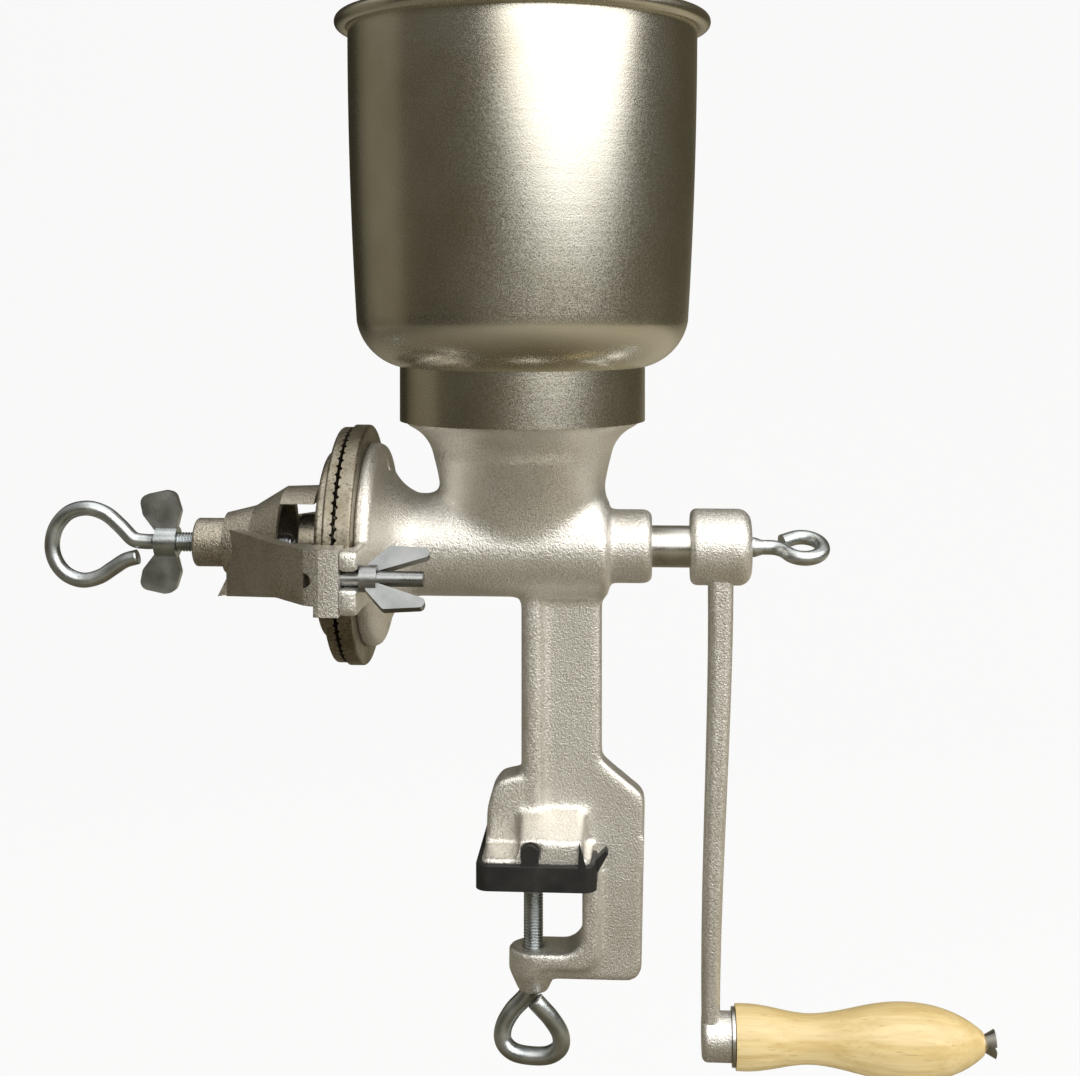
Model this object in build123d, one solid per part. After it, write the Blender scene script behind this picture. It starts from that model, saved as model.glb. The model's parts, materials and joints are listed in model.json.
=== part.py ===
from build123d import *
import os
from math import cos, radians, sin, sqrt

# Hand crank peanut grinder, in millimetres.
# The origin is on the table top (the rubber shoe's underside) on the clamp screw's axis.
# X runs along the shaft from the grinding plates to the crank, -Y is the near side, Z is up.

# ---- clearances ----
RUNNING_FIT = 0.05  # radial, shaft in hole
THREAD_FIT = 0.06  # radial, screw in threaded hole
SEAT_GAP = 0.3  # between a piece and the seat that carries it
SNUG_FIT = 0.15  # each side, pieces that don't move against each other

# ---- shaft line ----
SHAFT_Z = 131.5
SHAFT_R = 8.5
BEARING_LEFT = 18.0
BEARING_RIGHT = 48.6
BEARING_BOSS_R = 15.0
BEARING_EDGE_ROUND = 3.0

# ---- barrel and plate flange ----
BARREL_R = 21.0
BARREL_LEFT = -46.0
BARREL_RIGHT = 31.0
BARREL_EDGE = 2.5
FEED_BORE_R = 16.6
FLANGE_FACE_X = -67.5
FLANGE_R = 41.5
FLANGE_THICK = 6.5
BELL_R = 27.5
BELL_LENGTH = 17.0

# ---- throat ----
HOPPER_X = -4.5
THROAT_TOP_Z = 200.0
THROAT_STEP_Z = 183.5
THROAT_BEVEL = 2.3
THROAT_NECK_Z = 168.0
THROAT_NECK_R = 36.3
THROAT_BASE_Z = 136.0
THROAT_BASE_HALF_X = 33.0
THROAT_BASE_INSET = 0.8
THROAT_WAIST = 3.0
THROAT_WALL = 4.2

# ---- hopper ----
COLLAR_R = 50.2
COLLAR_HEIGHT = 22.0
HOPPER_WALL = 0.9
COLLAR_GAP = 0.3
SHOULDER_RISE = 18.5
SHOULDER_R = 67.7
HOPPER_MID_RISE = 76.0
HOPPER_MID_R = 70.4
HOPPER_TOP_R = 71.5
HOPPER_HEIGHT = 162.0
RIM_BEAD_R = 3.2
SEAT_LIP = 5.0

# ---- lugs and bridge bolts ----
BOLT_PLATE_GAP = 3.0  # between a bolt and the fixed plate's rim
BOLT_DROP = 4.8
BOLT_R = 3.0
LUG_EDGE = 7.0  # from the bolt's axis to the lug's outer edge
LUG_TOP_RISE = 6.5
LUG_BOTTOM_DROP = 18.5
LUG_THICK = 7.0
LUG_ROOT_Y = 30.0
LUG_SLOT = 6.6
BOLT_LENGTH = 39.0
BOLT_HEAD_R = 6.0
BOLT_HEAD_THICK = 3.0

# ---- grinding plates ----
PLATE_R = 49.0
PLATE_THICK = 6.0
PLATE_HOLE_R = 18.0
ROTOR_PLATE_STEP = 1.0  # the turning plate is this much smaller
ROTOR_PLATE_THICK = 4.0
ROTOR_HOLE_R = 9.0
PLATE_GAP = 1.5
RIM_TOOTH_COUNT = 72
RIM_TOOTH_DEPTH = 0.95
RIM_TOOTH_LENGTH = 9.0
FURROW_COUNT = 12
FURROW_WIDTH = 4.0
FURROW_DEPTH = 2.0
PLATE_SCREW_R = 2.5
PLATE_SCREW_HEAD_R = 4.5
PLATE_SCREW_PCD_R = 31.0
ROTOR_SCREW_PCD_R = 30.0
PLATE_SCREW_LENGTH = 11.0
PLATE_SCREW_SLOT = 0.9
SCREW_HOLE_LENGTH = 60.0  # centred on the fixed plate's face

# ---- carrier, pin and ball ----
CARRIER_R = 38.0
CARRIER_THICK = 5.0
CARRIER_HUB_R = 12.0
CARRIER_HUB_LENGTH = 12.0
SHAFT_NOSE_R = 7.0
PIN_R = 2.0
PIN_SETBACK = 4.0
BALL_R = 4.0

# ---- feed screw ----
FLIGHT_R = 15.7
FLIGHT_PITCH = 27.0
FLIGHT_START_GAP = 3.5  # from the plate flange's face to the flight
FLIGHT_END_GAP = 11.8  # from the flight's end to the bearing
FLIGHT_THICK = 4.0
FEED_CORE_R = 8.0

# ---- front bridge ----
BRIDGE_BOSS_R = 10.0
BRIDGE_BOSS_LEFT = -140.0
BRIDGE_BOSS_LENGTH = 17.0
HOOD_R = 23.5
HOOD_LENGTH = 14.0
HOOD_WALL = 3.5
HOOD_GAP = 4.0
HOOD_WINDOW_LOW = 3.0
HOOD_WINDOW_HIGH = 18.0
ARM_TOP_RISE = 7.0
ARM_BOTTOM_DROP = 20.7
ARM_BEND_DROP = 13.5
ARM_START = 2.5
ARM_LUG_DROP = 14.5
ARM_THICK = 5.5
ARM_BULGE_X = 19.0
ARM_BULGE_INSET = 13.0
BRIDGE_LUG_THICK = 7.6
SPUR = 3.5

# ---- adjusting screw and its wing nut ----
ADJUST_R = 4.0
ADJUST_NECK_GAP = 1.5  # between the eye's neck and the lock nut
ADJUST_LOOP_R = 14.3
ADJUST_WIRE_R = 3.15
ADJUST_TAIL = 11.0
LOCK_NUT_GAP = 8.0  # the bare thread between nut and boss
LOCK_NUT_LENGTH = 9.0
LOCK_NUT_R = 6.2
LOCK_WING_REACH = 20.6
LOCK_WING_WIDTH = 17.0
LOCK_WING_THICK = 4.2
LOCK_WING_ROUND = 3.6

# ---- bridge wing nuts ----
WING_NUT_R = 5.2
WING_NUT_LENGTH = 6.5
WING_REACH = 14.0
WING_SWEEP = 25.0
WING_THICK = 3.0
WING_ROUND = 1.8
WING_TURN = 42.0

# ---- crank ----
HUB_LEFT = 64.0
HUB_LENGTH = 24.8
HUB_R = 15.5
HUB_ROUND = 5.5
TANG = 11.0
TANG_LENGTH = 18.5
CRANK_RADIUS = 199.5
ARM_START_DROP = 10.0
ARM_TOP_WIDTH = 10.0
ARM_LOW_WIDTH = 7.2
ARM_TOP_DEPTH = 17.0
ARM_LOW_DEPTH = 13.0
ARM_TOP_X = 76.4
ARM_LOW_X = 72.4
ARM_CORNER = 3.0
CRANK_BOSS_R = 9.8
CRANK_BOSS_LEFT = 68.7
CRANK_BOSS_RIGHT = 80.6
CRANK_BOSS_ROUND = 2.5

# ---- crank eye screw ----
EYE_SCREW_R = 4.0
EYE_SCREW_ENGAGE = 14.0
EYE_NECK = 1.5
EYE_LOOP_R = 7.8
EYE_WIRE_R = 3.0
EYE_TAIL = 5.0
EYE_TILT = 24.0

# ---- handle ----
SPINDLE_R = 3.3
SPINDLE_SOCKET = 9.0
WASHER_R = 11.5
WASHER_THICK = 1.2
GRIP_LENGTH = 99.5
GRIP_BORE_FIT = 0.08
GRIP_BUTT_R = 12.6
GRIP_NECK_R = 9.6
GRIP_NECK_AT = 28.0
GRIP_BELLY_R = 14.3
GRIP_BELLY_AT = 59.0
GRIP_TIP_R = 9.6
GRIP_TIP_AT = 92.0
SPINDLE_HEAD_R = 5.6
SPINDLE_HEAD_LENGTH = 4.2
SPINDLE_SPLIT = 1.6

# ---- post, foot and clamp frame ----
POST_LEFT = -4.7
POST_RIGHT = 28.1
POST_FLANGE_WIDTH = 8.5
POST_FLANGE_HALF = 9.0
WEB_HALF = 6.0
POST_FILLET = 4.0
SPINE_RIGHT = 45.7
SPINE_SHOULDER_Z = 31.0
SPINE_SLOPE = 14.3
SPINE_BOTTOM_Z = -44.3
SPINE_CORNER = 6.0
MOUTH_RIGHT = 20.3
MOUTH_CORNER = 8.0
RIB_THICK = 7.0
RIB_HALF = 10.5
JAW_TOP_Z = -32.3
JAW_BOSS_R = 10.0
JAW_BOSS_STRAIGHT = 9.5
JAW_BOSS_TAPER = 9.0
JAW_BOSS_TIP_R = 6.0
FOOT_LEFT = -19.0
FOOT_RIGHT = 24.5
FOOT_HALF = 28.0
FOOT_THICK = 8.0
FOOT_CORNER = 3.0
EAR_REACH = 9.0
EAR_TOP_Z = 38.0
PEDESTAL_TOP_Z = 25.0
PEDESTAL_EDGE_RISE = 7.0

# ---- rubber shoe ----
SHOE_FLOOR = 4.0
SHOE_WALL = 2.0
SHOE_HEIGHT = 10.4
NUB_X = 0.5
NUB_R = 3.4
NUB_STRAIGHT = 2.6
NUB_DEPTH = 4.5
SHOE_EAR_HEIGHT = 9.0
SHOE_EAR_WIDTH = 2.2
SHOE_HOOK = 4.5

# ---- clamp screw and pad ----
CLAMP_R = 4.0
CLAMP_LOOP_Z = -68.4
CLAMP_LOOP_R = 10.0
CLAMP_WIRE_R = 3.6
CLAMP_TAIL = 7.0
PAD_REST_DROP = 2.1
PAD_R = 11.0
PAD_THICK = 2.6
PAD_COLLAR_R = 6.6
PAD_COLLAR = 4.2

# ---- worked out from the values above ----
SHAFT_AXIS = Axis((0, 0, SHAFT_Z), (1, 0, 0))
ROTOR_PLATE_R = PLATE_R - ROTOR_PLATE_STEP
BOLT_Y = PLATE_R + BOLT_PLATE_GAP + BOLT_R
LUG_OUTER_Y = BOLT_Y + LUG_EDGE
ARM_BULGE_Y = LUG_OUTER_Y - ARM_BULGE_INSET
LOCK_NUT_X = BRIDGE_BOSS_LEFT - LOCK_NUT_GAP - LOCK_NUT_LENGTH
ADJUST_NECK_X = LOCK_NUT_X - ADJUST_NECK_GAP
PLATE_FACE_X = FLANGE_FACE_X - PLATE_THICK
ROTOR_FACE_X = PLATE_FACE_X - PLATE_GAP
ROTOR_BACK_X = ROTOR_FACE_X - ROTOR_PLATE_THICK
CARRIER_BACK_X = ROTOR_BACK_X - CARRIER_THICK
HUB_END_X = CARRIER_BACK_X - CARRIER_HUB_LENGTH
BALL_X = HUB_END_X
ADJUST_TIP_X = BALL_X - BALL_R - RUNNING_FIT
LUG_LEFT = FLANGE_FACE_X - 2.0
LUG_RIGHT = LUG_LEFT + LUG_THICK
BRIDGE_LUG_LEFT = LUG_LEFT - BRIDGE_LUG_THICK
BOLT_Z = SHAFT_Z - BOLT_DROP
BRIDGE_BOSS_RIGHT = BRIDGE_BOSS_LEFT + BRIDGE_BOSS_LENGTH
HOOD_RIGHT = CARRIER_BACK_X - HOOD_GAP
COLLAR_Z = THROAT_STEP_Z - 0.5
SHOULDER_Z = COLLAR_Z + COLLAR_HEIGHT
HUB_RIGHT = HUB_LEFT + HUB_LENGTH
HANDLE_Z = SHAFT_Z - CRANK_RADIUS
FOOT_TOP_Z = SHOE_FLOOR + FOOT_THICK
PAD_TOP_Z = -PAD_REST_DROP
PEDESTAL_RIGHT = FOOT_RIGHT - FOOT_CORNER
GRIP_LEFT = CRANK_BOSS_RIGHT + WASHER_THICK + 2 * SEAT_GAP


# ---- small helpers ----
def x_cyl(radius, start, end, y=0.0, z=SHAFT_Z):
    """A cylinder along X between two places."""
    return Pos((start + end) / 2, y, z) * Rot(0, 90, 0) * Cylinder(radius, end - start)


def y_cyl(radius, start, end, x, z):
    """A cylinder along Y between two places."""
    return Pos(x, (start + end) / 2, z) * Rot(90, 0, 0) * Cylinder(radius, end - start)


def z_cyl(radius, bottom, top, x=0.0, y=0.0):
    """A cylinder along Z between two heights."""
    return Pos(x, y, (bottom + top) / 2) * Cylinder(radius, top - bottom)


def block(x0, x1, y0, y1, z0, z1):
    """A box between two corners."""
    return Pos((x0 + x1) / 2, (y0 + y1) / 2, (z0 + z1) / 2) * Box(x1 - x0, y1 - y0, z1 - z0)


def xz_plate(points, half, y=0.0):
    """A plate in the XZ plane through the given outline, half its thickness each side of y."""
    outline = make_face(Polyline([(px, y, pz) for px, pz in points], close=True))
    return extrude(outline, half, dir=(0, 1, 0), both=True)


def turned(edges, axis):
    """A solid of revolution of the closed outline."""
    return revolve(make_face(edges), axis)


def turned_on_shaft(points):
    """A solid of revolution about the shaft's axis through (x, radius) points."""
    outline = Polyline([(px, 0, SHAFT_Z + radius) for px, radius in points], close=True)
    return turned(outline, SHAFT_AXIS)


def soften(part, radius, pick):
    """Round the edges of part that pick accepts."""
    return fillet([edge for edge in part.edges() if pick(edge)], radius)


# ---- hopper ----
def hopper_profile(inset):
    """The hopper's bowl and collar from the axis out, moved inwards by inset."""
    axis_x = HOPPER_X
    low = COLLAR_Z - (1.0 if inset else 0.0)
    top = COLLAR_Z + HOPPER_HEIGHT + (1.0 if inset else 0.0)
    shoulder = SHOULDER_Z + inset
    mid_shoulder = shoulder + SHOULDER_RISE * 0.45
    collar = (axis_x + COLLAR_R - inset, 0, shoulder)
    bend = (axis_x + COLLAR_R + (SHOULDER_R - COLLAR_R) * 0.74 - inset, 0, mid_shoulder)
    bowl = (axis_x + SHOULDER_R - inset, 0, shoulder + SHOULDER_RISE)
    middle = (axis_x + HOPPER_MID_R - inset, 0, shoulder + HOPPER_MID_RISE)
    lip = (axis_x + HOPPER_TOP_R - inset, 0, top)
    return [
        Line((axis_x, 0, low), (axis_x + COLLAR_R - inset, 0, low)),
        Line((axis_x + COLLAR_R - inset, 0, low), collar),
        ThreePointArc(collar, bend, bowl),
        Line(bowl, middle),
        Line(middle, lip),
        Line(lip, (axis_x, 0, top)),
        Line((axis_x, 0, top), (axis_x, 0, low)),
    ]


def hopper():
    axis = Axis((HOPPER_X, 0, 0), (0, 0, 1))
    shell = turned(hopper_profile(0.0), axis) - turned(hopper_profile(HOPPER_WALL), axis)
    rim_z = COLLAR_Z + HOPPER_HEIGHT
    bead_x = HOPPER_TOP_R - HOPPER_WALL + RIM_BEAD_R
    bead = Pos(HOPPER_X, 0, rim_z) * Torus(bead_x, RIM_BEAD_R)
    lip_outer = COLLAR_R - HOPPER_WALL / 2
    lip_z = THROAT_TOP_Z + SEAT_GAP
    lip = z_cyl(lip_outer, lip_z, lip_z + HOPPER_WALL, HOPPER_X)
    lip -= z_cyl(COLLAR_R - HOPPER_WALL - SEAT_LIP, lip_z, lip_z + HOPPER_WALL, HOPPER_X)
    return shell + bead + lip


# ---- body casting ----
def throat_outer():
    """The round mouth under the hopper's collar, running down into the oval neck."""
    spigot = COLLAR_R - HOPPER_WALL - COLLAR_GAP
    bevel = spigot - THROAT_BEVEL
    bevel_z = THROAT_STEP_Z - THROAT_BEVEL
    waist = bevel - (bevel - THROAT_NECK_R) * 0.68
    waist_z = THROAT_NECK_Z + (bevel_z - THROAT_NECK_Z) * 0.6
    profile = [
        Line((HOPPER_X, 0, THROAT_NECK_Z), (HOPPER_X, 0, THROAT_TOP_Z)),
        Line((HOPPER_X, 0, THROAT_TOP_Z), (HOPPER_X + spigot, 0, THROAT_TOP_Z)),
        Line((HOPPER_X + spigot, 0, THROAT_TOP_Z), (HOPPER_X + spigot, 0, THROAT_STEP_Z)),
        Line((HOPPER_X + spigot, 0, THROAT_STEP_Z), (HOPPER_X + bevel, 0, bevel_z)),
        ThreePointArc(
            (HOPPER_X + bevel, 0, bevel_z),
            (HOPPER_X + waist, 0, waist_z),
            (HOPPER_X + THROAT_NECK_R, 0, THROAT_NECK_Z),
        ),
        Line((HOPPER_X + THROAT_NECK_R, 0, THROAT_NECK_Z), (HOPPER_X, 0, THROAT_NECK_Z)),
    ]
    return turned(profile, Axis((HOPPER_X, 0, 0), (0, 0, 1))) + throat_neck()


def throat_neck():
    """The neck between the round mouth and the barrel."""
    top = Pos(HOPPER_X, 0, THROAT_NECK_Z) * Circle(THROAT_NECK_R)
    waist_z = (THROAT_NECK_Z + THROAT_BASE_Z) / 2
    waist_half_y = (THROAT_NECK_R + BARREL_R) / 2 - THROAT_WAIST
    waist = Pos(HOPPER_X, 0, waist_z) * Ellipse(THROAT_BASE_HALF_X + 0.4, waist_half_y)
    base = Pos(HOPPER_X, 0, THROAT_BASE_Z) * Ellipse(THROAT_BASE_HALF_X, BARREL_R - THROAT_BASE_INSET)
    return loft([base, waist, top])


def throat_inner():
    """The funnel inside the throat, open into the feed bore."""
    spigot = COLLAR_R - HOPPER_WALL - COLLAR_GAP
    slot_half = FEED_BORE_R - 2.0
    low_z = SHAFT_Z + slot_half / 2
    neck_r = THROAT_NECK_R - THROAT_WALL
    outline = [
        (0, low_z),
        (slot_half - 1.0, low_z),
        (neck_r, THROAT_NECK_Z + 2.0),
        (spigot - THROAT_WALL, THROAT_STEP_Z),
        (spigot - THROAT_WALL, THROAT_TOP_Z + 1.0),
        (0, THROAT_TOP_Z + 1.0),
    ]
    wire = Polyline([(HOPPER_X + px, 0, pz) for px, pz in outline], close=True)
    slot = block(
        HOPPER_X - THROAT_BASE_HALF_X + 2 * THROAT_WALL,
        BEARING_LEFT - 2.0,
        -slot_half,
        slot_half,
        SHAFT_Z,
        THROAT_NECK_Z - 2 * THROAT_WALL,
    )
    return turned(wire, Axis((HOPPER_X, 0, 0), (0, 0, 1))) + slot


def plate_flange():
    """The round flange behind the fixed plate and the bell that runs back to the barrel."""
    back = FLANGE_FACE_X + FLANGE_THICK
    bell_end = back + BELL_LENGTH
    profile = [
        Line((FLANGE_FACE_X, 0, SHAFT_Z), (FLANGE_FACE_X, 0, SHAFT_Z + FLANGE_R)),
        Line((FLANGE_FACE_X, 0, SHAFT_Z + FLANGE_R), (back - 2.0, 0, SHAFT_Z + FLANGE_R)),
        Line((back - 2.0, 0, SHAFT_Z + FLANGE_R), (back, 0, SHAFT_Z + FLANGE_R - 2.0)),
        ThreePointArc(
            (back, 0, SHAFT_Z + FLANGE_R - 2.0),
            (back + BELL_LENGTH * 0.27, 0, SHAFT_Z + BELL_R),
            (bell_end, 0, SHAFT_Z + BARREL_R - 1.0),
        ),
        Line((bell_end, 0, SHAFT_Z + BARREL_R - 1.0), (bell_end, 0, SHAFT_Z)),
        Line((bell_end, 0, SHAFT_Z), (FLANGE_FACE_X, 0, SHAFT_Z)),
    ]
    return turned(profile, SHAFT_AXIS)


def body_lug(side):
    """A slotted lug beside the plates; side is -1 near and +1 far."""
    top = SHAFT_Z + LUG_TOP_RISE
    bottom = SHAFT_Z - LUG_BOTTOM_DROP
    y_pair = sorted((side * LUG_ROOT_Y, side * LUG_OUTER_Y))
    root = block(FLANGE_FACE_X + 0.8, LUG_RIGHT, y_pair[0], y_pair[1], bottom, top)
    tip_pair = sorted((side * (PLATE_R + 1.2), side * LUG_OUTER_Y))
    tip = block(LUG_LEFT, LUG_RIGHT, tip_pair[0], tip_pair[1], bottom, top)
    lug = root + tip
    lug = soften(lug, 2.5, lambda e: abs(abs(e.center().Y) - LUG_OUTER_Y) < 0.01
                 and abs(e.center().X - (LUG_LEFT + LUG_RIGHT) / 2) < 0.6)
    slot_inner = BOLT_Y - LUG_SLOT / 2
    slot_pair = sorted((side * (slot_inner + LUG_SLOT / 2), side * (LUG_OUTER_Y + 1.0)))
    half = LUG_SLOT / 2
    slot = block(LUG_LEFT - 1.0, LUG_RIGHT + 1.0, slot_pair[0], slot_pair[1], BOLT_Z - half, BOLT_Z + half)
    slot += x_cyl(half, LUG_LEFT - 1.0, LUG_RIGHT + 1.0, side * BOLT_Y, BOLT_Z)
    return lug - slot


def bearing_boss():
    boss = x_cyl(BEARING_BOSS_R, BARREL_RIGHT - 3.0, BEARING_RIGHT)
    boss = soften(boss, BEARING_EDGE_ROUND, lambda e: abs(e.center().X - BEARING_RIGHT) < 0.01)
    return boss


def barrel():
    tube = x_cyl(BARREL_R, BARREL_LEFT, BARREL_RIGHT)
    return soften(tube, BARREL_EDGE, lambda e: abs(e.center().X - BARREL_RIGHT) < 0.01)


def clamp_web():
    """The flat web of post and spine, with the clamp's mouth open to the left."""
    spine_low_x = SPINE_RIGHT - 1.5
    outline = [
        (POST_LEFT, SHAFT_Z - BARREL_R / 2),
        (POST_RIGHT, SHAFT_Z - BARREL_R / 2),
        (POST_RIGHT, SPINE_SHOULDER_Z + SPINE_SLOPE),
        (SPINE_RIGHT, SPINE_SHOULDER_Z),
        (spine_low_x, SPINE_BOTTOM_Z),
        (0, SPINE_BOTTOM_Z),
        (0, JAW_TOP_Z),
        (MOUTH_RIGHT, JAW_TOP_Z),
        (MOUTH_RIGHT, SHOE_FLOOR),
        (POST_LEFT, SHOE_FLOOR),
    ]
    web = xz_plate(outline, WEB_HALF)

    def corner(edge):
        centre = edge.center()
        low_right = abs(centre.X - spine_low_x) < 0.1 and abs(centre.Z - SPINE_BOTTOM_Z) < 0.1
        shoulder = abs(centre.X - SPINE_RIGHT) < 0.1 and abs(centre.Z - SPINE_SHOULDER_Z) < 0.1
        return low_right or shoulder

    return soften(web, SPINE_CORNER, corner)


def clamp_ribs():
    """The thick inner edge of the mouth: one rib down the spine, one along the lower jaw."""
    outline = [
        (0, JAW_TOP_Z),
        (MOUTH_RIGHT, JAW_TOP_Z),
        (MOUTH_RIGHT, SHOE_FLOOR),
        (MOUTH_RIGHT + RIB_THICK, SHOE_FLOOR),
        (MOUTH_RIGHT + RIB_THICK, JAW_TOP_Z - RIB_THICK),
        (0, JAW_TOP_Z - RIB_THICK),
    ]
    ribs = xz_plate(outline, RIB_HALF)

    def inner(edge):
        centre = edge.center()
        return abs(centre.X - MOUTH_RIGHT) < 0.1 and abs(centre.Z - JAW_TOP_Z) < 0.1

    def outer(edge):
        centre = edge.center()
        right = abs(centre.X - MOUTH_RIGHT - RIB_THICK) < 0.1
        return right and abs(centre.Z - JAW_TOP_Z + RIB_THICK) < 0.1

    return soften(soften(ribs, MOUTH_CORNER, inner), MOUTH_CORNER, outer)


def jaw_boss():
    """The threaded boss of the clamp screw, tapered underneath."""
    straight_bottom = JAW_TOP_Z - JAW_BOSS_STRAIGHT
    boss = z_cyl(JAW_BOSS_R, straight_bottom, JAW_TOP_Z)
    taper = Pos(0, 0, straight_bottom - JAW_BOSS_TAPER / 2) * Cone(JAW_BOSS_TIP_R, JAW_BOSS_R, JAW_BOSS_TAPER)
    return boss + taper


def foot():
    """The foot plate, the ear to its left and the pedestal that spreads the post over it."""
    plate = block(FOOT_LEFT, FOOT_RIGHT, -FOOT_HALF, FOOT_HALF, SHOE_FLOOR, FOOT_TOP_Z)
    plate = soften(plate, FOOT_CORNER, lambda e: abs(abs(e.center().Y) - FOOT_HALF) < 0.01
                   and abs(e.center().Z - (SHOE_FLOOR + FOOT_TOP_Z) / 2) < 0.01)
    ear_left = POST_LEFT - EAR_REACH
    ear_outline = [
        (POST_LEFT + 1.0, EAR_TOP_Z + 1.5),
        (ear_left + 1.0, EAR_TOP_Z),
        (ear_left - 2.5, EAR_TOP_Z - 4.5),
        (FOOT_LEFT + 0.5, (EAR_TOP_Z + FOOT_TOP_Z) / 2),
        (FOOT_LEFT, SHOE_FLOOR),
        (POST_LEFT + 1.0, SHOE_FLOOR),
    ]
    ear = xz_plate(ear_outline, POST_FLANGE_HALF)
    edge_z = FOOT_TOP_Z + PEDESTAL_EDGE_RISE
    slope = [
        (-FOOT_HALF, SHOE_FLOOR),
        (-FOOT_HALF, edge_z),
        (-POST_FLANGE_HALF, PEDESTAL_TOP_Z),
        (POST_FLANGE_HALF, PEDESTAL_TOP_Z),
        (FOOT_HALF, edge_z),
        (FOOT_HALF, SHOE_FLOOR),
    ]
    side = make_face(Polyline([(POST_LEFT, py, pz) for py, pz in slope], close=True))
    pedestal = extrude(side, PEDESTAL_RIGHT - POST_LEFT, dir=(1, 0, 0))
    return plate + ear + pedestal


def nub_notch(side, spare):
    """The arched pocket in the pedestal's edge, or with no spare the rubber nub in it."""
    inner = side * (FOOT_HALF - NUB_DEPTH - spare)
    outer = side * (FOOT_HALF + (1.0 if spare else 0.0))
    low, high = sorted((inner, outer))
    arch_z = FOOT_TOP_Z + NUB_STRAIGHT
    radius = NUB_R + spare
    body = block(NUB_X - radius, NUB_X + radius, low, high, FOOT_TOP_Z - (0.0 if spare else 0.4), arch_z)
    return body + y_cyl(radius, low, high, NUB_X, arch_z)


def body_casting():
    post_flange = block(
        POST_LEFT,
        POST_LEFT + POST_FLANGE_WIDTH,
        -POST_FLANGE_HALF,
        POST_FLANGE_HALF,
        SHOE_FLOOR,
        SHAFT_Z - BARREL_R / 2,
    )
    post_flange = soften(post_flange, POST_FILLET, lambda e: abs(e.center().X - POST_LEFT) < 0.01
                         and e.length > SHAFT_Z / 2)
    body = barrel() + plate_flange() + bearing_boss() + throat_outer()
    for side in (-1, 1):
        body += body_lug(side)
    body += clamp_web() + clamp_ribs() + jaw_boss() + post_flange + foot()
    body -= throat_inner()
    body -= x_cyl(FEED_BORE_R, FLANGE_FACE_X - 5.0, BEARING_LEFT)
    body -= x_cyl(SHAFT_R + RUNNING_FIT, BEARING_LEFT - 1.0, BEARING_RIGHT + 1.0)
    jaw_bottom = JAW_TOP_Z - JAW_BOSS_STRAIGHT - JAW_BOSS_TAPER
    body -= z_cyl(CLAMP_R + THREAD_FIT, jaw_bottom - 1.0, JAW_TOP_Z + 1.0)
    for side in (-1, 1):
        body -= nub_notch(side, SNUG_FIT)
    for angle in (0, 180):
        body -= plate_screw_place(angle) * Rot(0, 90, 0) * Cylinder(PLATE_SCREW_R + THREAD_FIT, SCREW_HOLE_LENGTH)
    return body


# ---- grinding plates ----
def plate_screw_place(angle):
    """A point on the plate screws' circle, at the fixed plate's face."""
    return Pos(PLATE_FACE_X, 0, SHAFT_Z) * Rot(angle, 0, 0) * Pos(0, 0, PLATE_SCREW_PCD_R)


def tooth_cutters(face_x, phase):
    """The notches round the rim of a plate's toothed face."""
    side = RIM_TOOTH_DEPTH * sqrt(2)
    notch = Rot(0, 0, 45) * Box(side, side, RIM_TOOTH_LENGTH)
    notch = Pos(0, 0, PLATE_R + 1.0 - RIM_TOOTH_LENGTH / 2) * notch
    cutters = []
    for index in range(RIM_TOOTH_COUNT):
        angle = 360.0 / RIM_TOOTH_COUNT * (index + phase)
        cutters.append(Pos(face_x, 0, SHAFT_Z) * Rot(angle, 0, 0) * notch)
    return cutters


def furrow_cutters(face_x, hole_r):
    """The broad furrows that lead the nuts from the middle out to the fine teeth."""
    cutters = []
    start = hole_r - 1.0
    end = PLATE_R - RIM_TOOTH_LENGTH - 1.0
    for index in range(FURROW_COUNT):
        angle = 360.0 / FURROW_COUNT * (index + 0.5)
        place = Pos(face_x, 0, SHAFT_Z) * Rot(angle, 0, 0) * Pos(0, 0, (start + end) / 2)
        cutters.append(place * Rot(14, 0, 0) * Box(2 * FURROW_DEPTH, FURROW_WIDTH, end - start))
    return cutters


def stationary_burr():
    plate = x_cyl(PLATE_R, PLATE_FACE_X, FLANGE_FACE_X)
    plate = soften(plate, 1.0, lambda e: abs(e.center().X - FLANGE_FACE_X) < 0.01)
    plate -= x_cyl(PLATE_HOLE_R, PLATE_FACE_X - 1.0, FLANGE_FACE_X + 1.0)
    plate = plate - tooth_cutters(PLATE_FACE_X, 0.0)
    plate = plate - furrow_cutters(PLATE_FACE_X, PLATE_HOLE_R)
    for angle in (0, 180):
        hole = plate_screw_place(angle)
        plate -= hole * Rot(0, 90, 0) * Cylinder(PLATE_SCREW_R + SNUG_FIT, SCREW_HOLE_LENGTH)
        sink = PLATE_SCREW_HEAD_R - PLATE_SCREW_R + FURROW_DEPTH
        plate -= hole * Pos(sink / 2, 0, 0) * Rot(0, 90, 0) * Cylinder(PLATE_SCREW_HEAD_R + SNUG_FIT, sink)
    return plate


def rotating_burr():
    plate = x_cyl(ROTOR_PLATE_R, ROTOR_BACK_X, ROTOR_FACE_X)
    plate = soften(plate, 1.0, lambda e: abs(e.center().X - ROTOR_BACK_X) < 0.01)
    plate -= x_cyl(ROTOR_HOLE_R, ROTOR_BACK_X - 1.0, ROTOR_FACE_X + 1.0)
    plate = plate - tooth_cutters(ROTOR_FACE_X, 0.5)
    plate = plate - furrow_cutters(ROTOR_FACE_X, ROTOR_HOLE_R + 3.0)
    for angle in (90, 270):
        hole = rotor_screw_place(angle)
        plate -= hole * Rot(0, 90, 0) * Cylinder(PLATE_SCREW_R + SNUG_FIT, 4 * ROTOR_PLATE_THICK)
    return plate


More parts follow.
